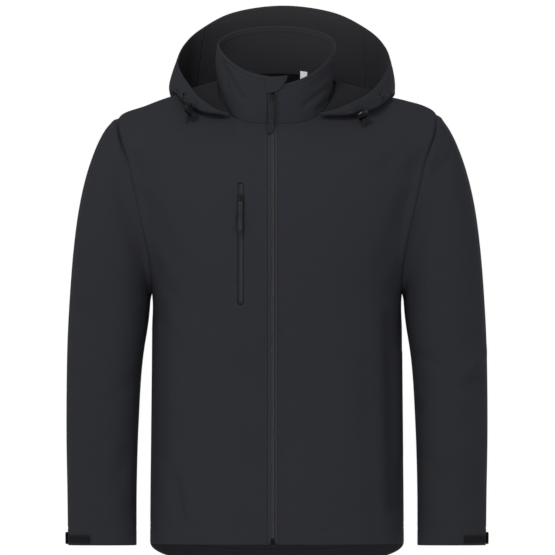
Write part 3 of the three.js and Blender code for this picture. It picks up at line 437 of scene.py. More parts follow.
def edged(count, close=(0.0035, 0.009, 0.017)):
    """Stops from 0 to 1 with extra ones close to both edges."""
    middle = np.linspace(0, 1, count + 1)[1:-1]
    return np.unique(np.concatenate([[0], close, middle, 1 - np.array(close), [1]]))


def panel_rows():
    """Rows of the front and back panels, and how far round the armhole each is: 0 below it, 180 above it."""
    low = np.unique(np.concatenate([edged(96, (0.0022, 0.005, 0.009)) * ARMPIT,
                                    np.arange(0.24, 0.45, 0.0125)]))
    rounds = np.linspace(0, 180, 73)
    high = SHOULDER + edged(40, (0.006, 0.014, 0.024)) * (NECK - SHOULDER)
    low, high = low[low < ARMPIT - 0.001], high[high > SHOULDER + 0.001]
    row = np.concatenate([low, armhole_row(rounds), high])
    around = np.concatenate([low * 0, rounds, high * 0 + 180])
    return row[:, None], around[:, None]


def sleeve_form(side, at, around):
    """The plain form of a sleeve. around is 0 beside the body, 90 in front and 180 outermost."""
    at, around = np.broadcast_arrays(at * 1.0, around * 1.0)
    out_x, out_z, in_x, in_z, mid_y, front, back = between(SLEEVE, at)
    s, c = turned(around)
    p = 2 / 2.25
    outward = (1 - power(c, p)) / 2
    depth = np.where(s > 0, -front * np.clip(s, 0, None) ** p, back * np.clip(-s, 0, None) ** p)
    return raised(np.stack([side * mix(in_x, out_x, outward), mid_y + depth, mix(in_z, out_z, outward)], -1))


def sleeve_normal(side, at, around):
    at = np.clip(at, 0.02, len(SLEEVE) - 1.02)
    return normal_of(lambda a, b: sleeve_form(side, a, b), at, around * 1.0, 0.02, 0.5) * side


def armhole_edge(side, around):
    """The panels' edge at an armhole: its row, half turn, cut and angle. around is 0 at the armpit, 180 on top."""
    half = np.where(around <= 180, around, 360 - around)
    cut = np.where(around <= 180, -armhole_cut(half, ARMHOLE_FRONT), armhole_cut(half, ARMHOLE_BACK))
    return armhole_row(half), half, cut, side * (90 + cut)


def armhole_lifts():
    """Spots round both armholes and how far the cloth is drawn out at each. At the armpit it is nothing."""
    spots, lifts = [], []
    for side in (-1, 1):
        around = np.linspace(0, 360, 361)
        row, half, cut, angle = armhole_edge(side, around)
        way = unit(body_normal(row, angle - side * cut / 2) + sleeve_normal(side, around * 0 + 0.5, around))
        spots.append(body_form(row, angle))
        lift = way * SHOULDER_LIFT[side] * ((1 - np.cos(np.radians(half))) / 2)[:, None]
        share = np.sin(np.radians(half)) ** np.where(half > 90, 0.6, 1)
        lift[:, 1] += np.sign(cut) * ARMHOLE_LIFT * share
        lifts.append(lift)
    return np.concatenate(spots), np.concatenate(lifts)


LIFT_SPOTS, LIFTS = armhole_lifts()


def drawn_out(point):
    """The lift of a point beside an armhole, blended from the spots nearest to it."""
    flat = point.reshape(-1, 3)
    moved = np.zeros_like(flat)
    beside = np.flatnonzero((np.abs(flat[:, 0]) > 150) & (flat[:, 2] > -360))
    for part in np.array_split(beside, len(beside) // 2000 + 1):
        away = ((flat[part, None] - LIFT_SPOTS[None]) ** 2).sum(-1)
        least = away.min(1, keepdims=True) if len(part) else away[:, :1]
        weight = np.exp((least - away) / 25)
        lift = weight @ LIFTS / weight.sum(1, keepdims=True)
        moved[part] = lift * np.exp(-least / LIFT_REACH ** 2)
    return moved.reshape(point.shape)


def sleeve(side, at, around):
    point = sleeve_form(side, at, around)
    s, _ = turned(around + at * 0)
    fade = np.clip(s * 1.7, 0, 1)
    depth = fold_depth(SLEEVE_FOLDS[side], point[..., 0], point[..., 2]) * fade
    return point - sleeve_normal(side, at, around) * depth[..., None] + drawn_out(point)


def sleeve_creases(side, at, around):
    point = sleeve_form(side, at, around)
    s, _ = turned(around + at * 0)
    front = fold_depth(SLEEVE_CREASES[side], point[..., 0], point[..., 2]) * np.clip(s * 4, 0, 1)
    back = fold_depth(SLEEVE_BACK_CREASES, point[..., 0] * side, point[..., 2]) * np.clip(-s * 4, 0, 1)
    return front + back


def armhole_ring(side, around):
    """The sleeve's first ring: the edge of the panels, moved out by the gap of the seam."""
    row, _, _, angle = armhole_edge(side, around)
    normal = body_normal(row, angle)
    point = body(row, angle)
    away = sleeve(side, np.zeros_like(around), around) - point
    away = unit(away - normal * np.sum(away * normal, -1, keepdims=True))
    return point + away * SEWN, normal


def collar_form(angle, up):
    """The stand of the collar, from the neck seam at up 0 to the rim at 1."""
    angle, up = np.broadcast_arrays(angle * 1.0, up * 1.0)
    base = body_form(np.full_like(angle, NECK), angle)
    s, c = turned(angle)
    ahead, behind = np.clip(c, 0, None), np.clip(-c, 0, None)
    top = COLLAR_RIM
    rim_z = np.where(c > 0, mix(top["side_z"], top["front_z"], ahead ** 1.5),
                     mix(top["side_z"], top["back_z"], behind))
    rim_y = np.where(c > 0, -top["front"] * c, -top["back"] * c)
    rim = np.stack([top["side"] * s + ZIP_X * ahead * ahead, rim_y, rim_z], -1)
    point = mix(base, rim, mix(SEWN / COLLAR_HEIGHT, 1, up)[..., None])
    point[..., 0] -= np.where(s < 0, COLLAR_BULGE * s * s * np.sin(np.pi * np.clip(up, 0, 1)), 0)
    return point


def collar_normal(angle, up):
    return normal_of(collar_form, angle * 1.0, np.clip(up, 0.02, 0.98), 0.5, 0.02)


def collar_angle(up, width):
    return np.degrees(np.arcsin(width / mix(BODY[NECK, 0], COLLAR_RIM["side"], up)))


def collar_share(angle):
    """The collar's height as a share of its form's: it slumps on the wearer's left of the zip."""
    s, c = turned(angle)
    height = collar_form(angle, np.ones_like(angle))[..., 2] - collar_form(angle, np.zeros_like(angle))[...,
                                                                                                        2]
    return np.where((s > 0) & (c > 0), 1 - COLLAR_SLUMP * np.clip(c, 0, None) ** 0.6 / height, 1.0)


def hood_form(angle, along):
    """The hood: up to along 1 it lies on the body, from there to 2 it turns up to its rim."""
    angle, along = np.broadcast_arrays(angle * 1.0, along * 1.0)
    folded = np.where(angle > 180, 360 - angle, angle)
    side = np.where(angle > 180, -1.0, 1.0)
    at = np.interp(folded, HOOD[:, 0], np.arange(len(HOOD))) + np.minimum(0, (folded - 50) / 12)
    _, far, roll, x, y, z, shift = between(HOOD_ROUND, at)
    skew = HOOD_SKEW * side * np.clip(np.sin(np.radians(folded * 2 - 100)), 0, None)
    row = mix(HOOD_START, far - skew, np.minimum(1, along))
    normal = body_normal(row, angle)
    lie = body_form(row, angle) + normal * HOOD_OFF
    down = unit(body_form(row - 0.1, angle) - body_form(row, angle))
    rim = np.stack([x * side + shift, y, z], -1)
    outward = unit(np.stack([x * side, np.clip(y, 0, None), z * 0], -1))
    roll = roll[..., None]
    bend = rim + outward * roll / 2
    bend[..., 2] -= 0.4 * np.linalg.norm(rim - lie, axis=-1)
    t = np.clip(along - 1, 0, None)[..., None]
    curve = lie * (1 - t) ** 3 + (lie + (down + normal) * roll) * 3 * t * (1 - t) ** 2
    curve = curve + bend * 3 * t * t * (1 - t) + rim * t ** 3
    return np.where(t > 0, curve, lie)


def hood_normal(angle, along):
    return normal_of(hood_form, angle * 1.0, np.clip(along, 0.02, 1.98), 0.5, 0.02)


def front_spot(x, z):
    """Row and angle of the points of the front that are seen at x, z."""
    x, z = np.broadcast_arrays(np.asarray(x, float), np.asarray(z, float))
    side = np.where(x < ZIP_X, -1.0, 1.0)
    low, high = np.zeros_like(x), np.full_like(x, NECK)
    for _ in range(22):
        row = (low + high) / 2
        near, far = np.zeros_like(x), np.full_like(x, 90.0)
        for _ in range(22):
            middle = (near + far) / 2
            inside = np.abs(body_form(row, side * middle)[..., 0]) < np.abs(x)
            near, far = np.where(inside, middle, near), np.where(inside, far, middle)
        below = body_form(row, side * near)[..., 2] < z
        low, high = np.where(below, row, low), np.where(below, high, row)
    return low, side * near


def zip_spot(at, width):
    """A place on the front edge: rows of the body up to the neck seam, then on up the collar."""
    at, width = np.broadcast_arrays(np.asarray(at, float), np.asarray(width, float))
    side = np.where(width < 0, -1.0, 1.0)
    on_body = np.minimum(at, NECK)
    low = side * angle_at_width(on_body, np.abs(width))
    up = np.clip(at - NECK, 0, 1)
    high = side * collar_angle(up, np.abs(width))
    above = (at > NECK)[..., None]
    point = np.where(above, collar_form(high, up), body_form(on_body, low))
    return point, np.where(above, collar_normal(high, up), body_normal(on_body, low))


# Making meshes
def finished(name, mesh, material, rides="garment", replaces=()):
    """An object of the mesh, with its body and the solids that it stands for."""
    piece = bpy.data.objects.new(name, mesh)
    bpy.context.scene.collection.objects.link(piece)
    for one in material if isinstance(material, (list, tuple)) else [material]:
        if one:
            mesh.materials.append(one)
    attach(piece, rides)
    if replaces:
        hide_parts(*replaces)
    return piece


def arc_lengths(points, axis):
    step = np.linalg.norm(np.diff(points, axis=axis), axis=-1)
    start = np.zeros_like(np.take(step, [0], axis=axis))
    return np.concatenate([start, np.cumsum(step, axis=axis)], axis=axis)


def shell_mesh(name, outer, normals, thick, closed=False, edge=0.4, reach=1.1, creases=None, grooves=()):
    """A closed thin shell on a grid of points: crisp wall, softened edges, creases pressed in, UV in metres.
    grooves are stitched lines that draw the cloth in: the side they run along, how far from it,
    depth and width."""
    rows, columns = outer.shape[:2]
    around = np.concatenate([outer, outer[:, :1]], 1) if closed else outer
    across, up = arc_lengths(around, 1), arc_lengths(around, 0)
    to_side = {"first column": across, "last column": across[:, -1:] - across, "first row": up,
               "last row": up[-1:] - up}
    soft = np.zeros((rows, columns))
    for side, away in to_side.items():
        depth = edge.get(side, 0.15) if isinstance(edge, dict) else edge
        if "row" in side or not closed:
            soft = np.maximum(soft, depth * np.exp(-(away[:, :columns] / reach) ** 2))
    push = soft + (0 if creases is None else creases)
    for side, away, deep, wide in grooves:
        push = push + deep * np.exp(-((to_side[side][:, :columns] - away) / wide) ** 2)
    face = outer - normals * push[..., None]
    back = outer - normals * (push + thick - 2 * soft)[..., None]
    points = np.concatenate([face.reshape(-1, 3), back.reshape(-1, 3)])
    index = np.arange(rows * columns).reshape(rows, columns)
    if closed:
        index = np.concatenate([index, index[:, :1]], 1)
    a, b, c, d = index[:-1, :-1], index[:-1, 1:], index[1:, 1:], index[1:, :-1]
    front = np.stack([a, b, c, d], -1).reshape(-1, 4)
    inside = np.stack([a, d, c, b], -1).reshape(-1, 4) + rows * columns
    edges = [(index[0], 1), (index[-1], -1)]
    if not closed:
        edges += [(index[:, 0], -1), (index[:, -1], 1)]
    rims = []
    for line, way in edges:
        quad = np.stack([line[:-1], line[:-1] + rows * columns, line[1:] + rows * columns, line[1:]], -1)
        rims.append(quad[:, ::way])
    faces = np.concatenate([front, inside] + rims)
    centre = points[faces].mean(1)
    facing = np.cross(points[faces[:, 2]] - points[faces[:, 0]], points[faces[:, 3]] - points[faces[:, 1]])
    if np.sum(centre * facing) < 0:
        faces = faces[:, ::-1]
    mesh = bpy.data.meshes.new(name)
    mesh.from_pydata((points * MM).tolist(), [], faces.tolist())
    corner = np.empty(len(mesh.loops), dtype=np.int32)
    mesh.loops.foreach_get("vertex_index", corner)
    spread = np.stack([across, up], -1)[:, :columns].reshape(-1, 2) * MM
    uv = np.concatenate([spread, spread])[corner]
    if closed:
        by_face = uv.reshape(-1, 4, 2)
        whole = across.max() * MM
        jump = by_face[..., 0].max(1) - by_face[..., 0].min(1) > whole / 2
        past = by_face[jump, :, 0]
        by_face[jump, :, 0] = np.where(past < whole / 4, past + whole, past)
        uv = by_face.reshape(-1, 2)
    mesh.uv_layers.new(name="UVMap").data.foreach_set("uv", uv.astype(np.float32).ravel())
    mesh.polygons.foreach_set("use_smooth", [True] * len(mesh.polygons))
    layer = np.zeros(len(faces), dtype=np.int32)
    layer[len(front):len(front) + len(inside)] = 1
    mesh.polygons.foreach_set("material_index", layer)
    mesh.update()
    return mesh


# Cords of the hood
# wearer's side, middle of the lock, angle of the eyelet, route to the lock, free end below it
LOCKS = [
    ("right", [-137, -54, -17], 270, [[-150, -40, 6], [-143, -47, 4], [-132, -52, -3], [-131.1, -54, -11.1]],
     [[-142.9, -54, -22.9], [-144.4, -54, -26], [-143.6, -53.6, -31], [-141.6, -53, -35]]),
    ("left", [133, -58, -24], 90, [[160, -41, 2], [150, -50, -1], [134, -57, -7], [129.2, -58, -16.6]],
     [[136.8, -58, -31.4], [137.8, -58, -34.5], [137.2, -57.4, -38], [135, -57, -42]]),
]
CORD_RADIUS = 1.3


def smooth_path(points, count):
    """A smooth curve through the points, in even steps, and its length."""
    points = np.array(points, float)
    ends = np.concatenate([2 * points[:1] - points[1:2], points, 2 * points[-1:] - points[-2:-1]])
    at = np.linspace(0, len(points) - 1, 12 * count)
    first = np.minimum(at.astype(int), len(points) - 2)
    t = (at - first)[:, None]
    a, b, c, d = (ends[first + k] for k in range(4))
    fine = b + 0.5 * t * (c - a + t * (2 * a - 5 * b + 4 * c - d + t * (3 * (b - c) + d - a)))
    length = arc_lengths(fine[:, None], 0)[:, 0]
    even = np.linspace(0, length[-1], count)
    return np.stack([np.interp(even, length, fine[:, k]) for k in range(3)], -1), length[-1]


def hood_cords():
    for word, lock, angle, route, end in LOCKS:
        hole = hood_form(np.array(float(angle)), np.array(1.6))
        out = hood_normal(np.array(float(angle)), np.array(1.6))
        path, length = smooth_path([hole + out * 0.9, hole + out * 4] + route + [lock] + end, 34)
        curve = bpy.data.curves.new(f"cord_{word}", "CURVE")
        curve.dimensions = "3D"
        curve.bevel_depth = CORD_RADIUS * MM
        curve.bevel_resolution = 4
        curve.use_fill_caps = True
        spline = curve.splines.new("POLY")
        spline.points.add(len(path) - 1)
        for point, place in zip(spline.points, path):
            point.co = (*(place * MM), 1)
        piece = bpy.data.objects.new(f"hood_cord_{word}_braid", curve)
        bpy.context.scene.collection.objects.link(piece)
        curve.materials.append(CORD)
        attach(piece, "garment")
        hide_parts(f"hood_cord_{word}", f"hood_cord_end_{word}")


hood_cords()


# Cloth panels
# width and length of the rectangle that a piece is cut from, and the area of the cut
FLAT = {
    "front_right_cloth": (299, 902, 0.1754), "front_left_cloth": (313, 908, 0.1826),
    "back_cloth": (613, 918, 0.3952),
    "sleeve_right_cloth": (698, 694, 0.2214), "sleeve_left_cloth": (708, 698, 0.2225),
    "collar_cloth": (542, 87, 0.0373),
    "hood_left_cloth": (300, 341, 0.0354), "hood_centre_cloth": (294, 456, 0.1005),
    "hood_right_cloth": (277, 341, 0.0316),
    "main_zip_tape_right_weave": (10, 744, 0.0035), "main_zip_tape_left_weave": (10, 732, 0.0034),
    "chin_guard_cloth": (46, 26, 0.0007), "cuff_patch_right_pile": (46, 13, 0.00058),
    "cuff_patch_left_pile": (46, 13, 0.00058),
    "cuff_tab_right_cloth": (91, 19, 0.0017), "cuff_tab_left_cloth": (91, 19, 0.0017),
    "neck_label_ribbon": (12, 22, 0.00026),
    "main_zip_band": (10, 703, 0.0036),
}
SHEETS = {}  # each piece by name, with its flat size, how it is held, what it rests on and its area


def cloth(name, node, outer, normals, thick, held, rests_on, closed=False, materials=None, slot="softshell",
          **more):
    """One cut piece of cloth on its solid's form, standing for that solid."""
    mesh = shell_mesh(name, outer, normals, thick, closed, **more)
    piece = finished(name, mesh, materials or [FACE, LINING], replaces=[node] if node else ())
    if name in FLAT:
        width, length, area = FLAT[name]
        SHEETS[name] = (piece,
                        {"flat": (width * MM, length * MM), "held": held, "rests_on": rests_on, "area": area})
    return piece


ROWS, ROUNDS = panel_rows()
HEM_GROOVES = [("first row", away, 0.45, 1.4) for away in HEM_LINES]
FRONT_STOPS = np.unique(np.concatenate([
    [0, 0.0015, 0.0032, 0.005, 0.0065, 0.0078, 0.0092, 0.0106, 0.0125, 0.018, 0.026, 0.036],
    np.linspace(0, 1, 65)[4:-1], [0.983, 0.991, 0.9965, 1]]))


def front_panel(word, side):
    centre = angle_at_width(ROWS, FRONT_GAP)
    edge = 90 - seam_angle(ROWS) - armhole_cut(ROUNDS, ARMHOLE_FRONT)
    angle = side * mix(centre, edge, FRONT_STOPS[None, :])
    row = ROWS + angle * 0
    outer, normals = body(row, angle), body_normal(row, angle)
    creases = body_creases(row, angle)
    if side < 0:
        x, z = outer[..., 0] - POCKET["x"], outer[..., 2]
        half = POCKET["slot"] / 2
        beyond = np.maximum(0, np.maximum(z - POCKET["top"] + half, POCKET["bottom"] + half - z))
        away = np.hypot(x, beyond) - half
        creases = creases + 0.6 * np.exp(-(away / 1.3) ** 2) - 0.25 * np.exp(-((away - 4) / 2) ** 2)
    return cloth(f"front_{word}_cloth", f"front_{word}", outer, normals, CLOTH, "hung", ["collar_cloth"],
                 creases=creases,
                 grooves=[("first column", 6.0, 0.5, 1.3), *HEM_GROOVES, ("last column", 4.5, 0.08, 1.6)],
                 edge={"first row": 0.6, "first column": 0.5, "last column": 0.08, "last row": 0.08})


def cut_pocket_slot(panel):
    """Cuts the chest pocket's slot straight through the right front."""
    half = POCKET["slot"] / 2
    top, bottom = POCKET["top"] - half, POCKET["bottom"] + half
    arc = np.radians(np.linspace(0, 180, 17))
    ring = [(POCKET["x"] + half * math.cos(a), top + half * math.sin(a)) for a in arc]
    ring += [(POCKET["x"] - half * math.cos(a), bottom - half * math.sin(a)) for a in arc]
    points = [(x, y, z) for y in (-170, -90) for x, z in ring]
    count = len(ring)
    faces = [(i, (i + 1) % count, (i + 1) % count + count, i + count) for i in range(count)]
    faces += [tuple(range(count - 1, -1, -1)), tuple(range(count, 2 * count))]
    mesh = bpy.data.meshes.new("slot")
    mesh.from_pydata([Vector(p) * MM for p in points], [], faces)
    box = bmesh.new()
    box.from_mesh(mesh)
    bmesh.ops.recalc_face_normals(box, faces=box.faces)
    box.to_mesh(mesh)
    box.free()
    mesh.materials.append(FACE)
    cutter = bpy.data.objects.new("slot", mesh)
    bpy.context.scene.collection.objects.link(cutter)
    modifier = panel.modifiers.new("slot", "BOOLEAN")
    modifier.operation = "DIFFERENCE"
    modifier.solver = "EXACT"
    modifier.object = cutter
    cut = bpy.data.meshes.new_from_object(panel.evaluated_get(bpy.context.evaluated_depsgraph_get()))
    panel.modifiers.clear()
    panel.data = cut
    bpy.data.objects.remove(cutter)


def back_panel():
    edge = 90 + seam_angle(ROWS) + armhole_cut(ROUNDS, ARMHOLE_BACK)
    angle = mix(edge, 360 - edge, edged(104)[None, :])
    row = ROWS + angle * 0
    return cloth("back_cloth", "back", body(row, angle), body_normal(row, angle), CLOTH, "hung",
                 ["collar_cloth"],
                 creases=body_creases(row, angle),
                 grooves=HEM_GROOVES,
                 edge={"first row": 0.6, "first column": 0.08, "last column": 0.08})


def sleeve_tube(word, side):
    """A sleeve, whose cap runs on a smooth curve from the armhole's edge to the first ring of the tube."""
    around = np.linspace(0, 360, 73)[:-1]
    ring, ring_normal = armhole_ring(side, around)
    at = np.concatenate([np.linspace(0, 10.55, 118), np.linspace(10.6, 10.7, 7),
                         [10.78, 10.88, 10.95, 10.975, 11]])
    tube = sleeve(side, at[:, None], around[None, :])
    first, slope = tube[0], unit(tube[1] - tube[0])
    leave = first - ring
    t = np.array([0, 0.06, 0.14, 0.3, 0.5, 0.75])[:, None, None]
    arrive = unit(unit(leave) + slope) * np.linalg.norm(leave, axis=-1, keepdims=True)
    cap = (2 * t ** 3 - 3 * t ** 2 + 1) * ring + (t ** 3 - 2 * t ** 2 + t) * leave
    cap = cap + (3 * t ** 2 - 2 * t ** 3) * first + (t ** 3 - t ** 2) * arrive
    outer = np.concatenate([cap, tube])
    wrapped = np.concatenate([outer[:, -1:], outer, outer[:, :1]], 1)
    normals = unit(np.cross(np.gradient(outer, axis=0), (wrapped[:, 2:] - wrapped[:, :-2]) / 2))
    if np.sum(normals[20] * (outer[20] - outer[20].mean(0))) < 0:
        normals = -normals
    for k, share in enumerate((1, 0.85, 0.6, 0.3)):
        normals[k] = unit(mix(normals[k], ring_normal, share))
    rows = np.concatenate([np.zeros(len(t)), at])[:, None] + around[None, :] * 0
    creases = sleeve_creases(side, rows, around[None, :] + rows * 0)
    creases[:len(t)] *= np.array([0, 0.1, 0.25, 0.5, 0.7, 0.9])[:, None]
    return cloth(f"sleeve_{word}_cloth", f"sleeve_{word}", outer, normals, CLOTH, "hung",
                 [f"front_{word}_cloth", "back_cloth"], closed=True, creases=creases,
                 grooves=[("last row", 27, 0.45, 1.4)], edge={"first row": 0.08, "last row": 0.6})


def collar_stand():
    up = np.concatenate([[0, 0.012, 0.03], np.linspace(0.06, 0.84, 20), np.linspace(0.86, 0.93, 6),
                         [0.95, 0.972, 0.985, 0.994, 1]])[:, None]
    edge = collar_angle(up, FRONT_GAP)
    angle = mix(edge, 360 - edge, edged(150, (0.0025, 0.006))[None, :])
    up = (up + angle * 0) * collar_share(angle)
    outer, normals = collar_form(angle, up), collar_normal(angle, up)
    creases = fold_depth([(44, -9, 78, 18, 2.6, 4), (66, -15, 88, 6, 2.0, 4), (60, 22, 104, 60, 1.8, 7),
                          (-84, 57, -78, 18, 2.6, 3.6), (-80, 45, -54, 2, 2.4, 4),
                          (-66, 40, -60, 12, -1.2, 6)],
                         outer[..., 0], outer[..., 2]) * (outer[..., 1] < 0)
    return cloth("collar_cloth", "collar", outer, normals, COLLAR_CLOTH, "hung",
                 ["front_right", "front_left", "back"],
                 edge={"last row": 1.1, "first column": 0.9, "last column": 0.9, "first row": 0.1}, reach=1.2,
                 creases=creases, grooves=[("last row", 8, 0.6, 1.3), ("first column", 6, 0.5, 1.3),
                                           ("last column", 6, 0.5, 1.3)])


def hood_degree(angle, along):
    """How wide one degree of the hood is."""
    return np.linalg.norm(hood_form(angle + 0.5, along) - hood_form(angle - 0.5, along), axis=-1)


def hood_panel(word, start, end, columns, ends):
    along = np.concatenate([[0, 0.03], np.linspace(0.08, 1, 26), np.linspace(1, 1.93, 34)[1:],
                            [1.95, 1.965, 1.98, 1.99, 1.997]])[:, None]
    low = start + SEWN / 2 / hood_degree(np.full_like(along, start), along)
    high = end - SEWN / 2 / hood_degree(np.full_like(along, end), along)
    angle = mix(low, high, edged(columns, (0.008, 0.02))[None, :])
    along = along + angle * 0
    outer, normals = hood_form(angle, along), hood_normal(angle, along)
    return cloth(f"hood_{word}_cloth", f"hood_{word}", outer, normals, CLOTH, "draped",
                 ["front_right", "front_left", "back"], materials=[FACE, HOOD_LINING_PAINTED_SHADE],
                 edge={"first row": 0.3, "last row": 0.6, "first column": ends[0], "last column": ends[1]},
                 grooves=[("last row", HOOD_HEM, 0.6, 1.6), ("first column", 3.5, 0.05, 1.5),
                          ("last column", 3.5, 0.05, 1.5)])


cut_pocket_slot(front_panel("right", -1))
front_panel("left", 1)
back_panel()
sleeve_tube("right", -1)
sleeve_tube("left", 1)
collar_stand()
hood_panel("left", 50, HOOD_SEAMS[0], 64, (0.6, 0.04))
hood_panel("centre", *HOOD_SEAMS, 40, (0.04, 0.04))
hood_panel("right", HOOD_SEAMS[1], 310, 64, (0.04, 0.6))


# Zips, flaps and tabs
def strip(name, node, spot, rows, columns, lift, thick, materials, slot, held, rests_on, **more):
    """A narrow flat piece laid on a surface, its face lift millimetres out from there."""
    point, normal = spot(rows[:, None], columns[None, :])
    rise = lift(rows[:, None], columns[None, :]) if callable(lift) else lift
    outer = point + normal * (np.zeros(point.shape[:2]) + rise)[..., None]
    return cloth(name, node, outer, normal, thick, held, rests_on, materials=materials, slot=slot, **more)


def stops(start, end, count, close=0.6):
    """Even stops between two values with one more close to each end."""
    inner = np.linspace(start, end, count + 1)[1:-1]
    step = close if end > start else -close
    return np.concatenate([[start, start + step], inner, [end - step, end]])


def zip_rows(first, last):
    return np.concatenate([np.linspace(first, NECK, 170), np.linspace(NECK, last, 34)[1:]])


for word, low, high, last in (("right", -7.7, -3.0, 12.92), ("left", 3.0, 7.7, 12.76)):
    strip(f"main_zip_tape_{word}_weave", f"main_zip_tape_{word}", zip_spot, zip_rows(0.02, last),
          stops(low, high, 4, 0.35), -0.7, 1.0, TAPE, "zip", "stretched", [f"front_{word}", "collar"],
          edge=0.15, reach=0.4)


GUARD = {"from": -11, "to": 22.5, "low": 0.645, "climb": 0.3, "top": 0.99, "lift": 2.1}


def guard_spot(share, width):
    """The chin guard's place on the collar: its lower edge climbs towards the wearer's left."""
    share, width = np.broadcast_arrays(share, width)
    along = (width - GUARD["from"]) / (GUARD["to"] - GUARD["from"])
    return zip_spot(NECK + mix(GUARD["low"] + GUARD["climb"] * along ** 3, GUARD["top"], share), width)


strip("chin_guard_cloth", "chin_guard", guard_spot, stops(0, 1, 12, 0.03),
      stops(GUARD["from"], GUARD["to"], 28, 0.6), GUARD["lift"], 1.4,
      [FACE, FACE], "softshell", "stretched", ["collar"], edge=0.4, reach=0.8,
      grooves=[("first row", 2.2, 0.3, 0.7)])


def pocket_spot(z, across):
    z, across = np.broadcast_arrays(z, across)
    row, angle = front_spot(POCKET["x"] + across, z)
    return body(row, angle), body_normal(row, angle)


for word, low, high in (("right", -3.9, -2.4), ("left", 2.4, 3.9)):
    strip(f"pocket_zip_tape_{word}_weave", f"pocket_zip_tape_{word}", pocket_spot,
          np.linspace(-319.5, -135.5, 50),
          stops(low, high, 2, 0.25), -0.7, 1.0, TAPE, "zip", "stretched", ["front_right"], edge=0.15,
          reach=0.4)


def cuff_spot(side):
    def spot(at, around):
        at, around = np.broadcast_arrays(at, around)
        return sleeve_form(side, at, around), sleeve_normal(side, at, around)
    return spot


def tab_lift(at, around):
    """How far the tab's face lies off the sleeve: its free end stands a little proud."""
    return 2.25 + 2.2 * np.clip((192 - around) / 18, 0, 1)


for word, side in (("right", -1), ("left", 1)):
    strip(f"cuff_patch_{word}_pile", f"cuff_patch_{word}", cuff_spot(side), np.linspace(10.93, 10.73, 12),
          stops(108, 162, 30, 0.5), 1.45, 1.0, [LOOPS], "loops", "stretched", [f"sleeve_{word}"],
          edge=0.2, reach=0.8)
    strip(f"cuff_tab_{word}_cloth", f"cuff_tab_{word}", cuff_spot(side), np.linspace(10.96, 10.67, 18),
          stops(174, 270, 50, 0.5), tab_lift, 1.8, [FACE, FACE], "softshell", "stretched", [f"sleeve_{word}"],
          edge=0.55, reach=0.9, grooves=[("first row", 2.2, 0.3, 0.8), ("last row", 2.2, 0.3, 0.8),
                                         ("first column", 2.4, 0.3, 0.8)])


def label_spot(drop, angle):
    drop, angle = np.broadcast_arrays(drop, angle)
    normal = collar_normal(angle, np.full_like(angle, 0.08))
    point = collar_form(angle, np.full_like(angle, 0.08)) - normal * (COLLAR_CLOTH + SEAM)
    return point - np.stack([drop * 0, drop * 0, drop], -1), normal


strip("neck_label_ribbon", "neck_label", label_spot, stops(22, 0, 12, 0.4), stops(146, 154.5, 12, 0.3), -0.2,
      0.6,
      [LABEL], "label", "hung", ["collar"], edge=0.1, reach=0.4)


# Stitches and coils, which repeat along a line
def grains_tree():
    """Rounded grains set on points: each lies along its own line, with its size a little uneven."""
    tree = bpy.data.node_groups.new("grains along a line", "GeometryNodeTree")
    inputs = [("Geometry", "NodeSocketGeometry"), ("Length", "NodeSocketFloat"), ("Width", "NodeSocketFloat"),
              ("Height", "NodeSocketFloat"), ("Unevenness", "NodeSocketFloat"),
              ("Material", "NodeSocketMaterial")]
    for word, kind in inputs:
        tree.interface.new_socket(name=word, in_out="INPUT", socket_type=kind)
    tree.interface.new_socket(name="Geometry", in_out="OUTPUT", socket_type="NodeSocketGeometry")
    start, end = tree.nodes.new("NodeGroupInput"), tree.nodes.new("NodeGroupOutput")
    grain = tree.nodes.new("GeometryNodeMeshUVSphere")
    grain.inputs["Segments"].default_value = 6
    grain.inputs["Rings"].default_value = 4
    grain.inputs["Radius"].default_value = 0.5
    size = tree.nodes.new("ShaderNodeCombineXYZ")
    for socket, word in zip(size.inputs, ("Length", "Width", "Height")):
        tree.links.new(start.outputs[word], socket)
    lying = tree.nodes.new("GeometryNodeTransform")
    lying.inputs["Rotation"].default_value = (0, math.pi / 2, 0)
    sized = tree.nodes.new("GeometryNodeTransform")
    smooth = tree.nodes.new("GeometryNodeSetShadeSmooth")
    turn = tree.nodes.new("GeometryNodeInputNamedAttribute")
    turn.data_type = "FLOAT_VECTOR"
    turn.inputs["Name"].default_value = "turn"
    uneven = tree.nodes.new("FunctionNodeRandomValue")
    uneven.data_type = "FLOAT"
    uneven.inputs["Seed"].default_value = 11
    least = tree.nodes.new("ShaderNodeMath")
    least.operation = "SUBTRACT"
    least.inputs[0].default_value = 1
    tree.links.new(start.outputs["Unevenness"], least.inputs[1])
    floats = [socket for socket in uneven.inputs if socket.type == "VALUE" and socket.enabled]
    tree.links.new(least.outputs[0], floats[0])
    floats[1].default_value = 1
    scatter = tree.nodes.new("GeometryNodeInstanceOnPoints")
    whole = tree.nodes.new("GeometryNodeRealizeInstances")
    dressed = tree.nodes.new("GeometryNodeSetMaterial")
    tree.links.new(grain.outputs["Mesh"], lying.inputs["Geometry"])
    tree.links.new(lying.outputs[0], sized.inputs["Geometry"])
    tree.links.new(size.outputs[0], sized.inputs["Scale"])
    tree.links.new(sized.outputs[0], smooth.inputs["Geometry"])
    tree.links.new(start.outputs["Geometry"], scatter.inputs["Points"])
    tree.links.new(smooth.outputs[0], scatter.inputs["Instance"])
    tree.links.new(turn.outputs["Attribute"], scatter.inputs["Rotation"])
    chance = [socket for socket in uneven.outputs if socket.type == "VALUE" and socket.enabled][0]
    tree.links.new(chance, scatter.inputs["Scale"])
    tree.links.new(scatter.outputs[0], whole.inputs[0])
    tree.links.new(whole.outputs[0], dressed.inputs["Geometry"])
    tree.links.new(start.outputs["Material"], dressed.inputs["Material"])
    tree.links.new(dressed.outputs[0], end.inputs[0])
    return tree


GRAINS = grains_tree()


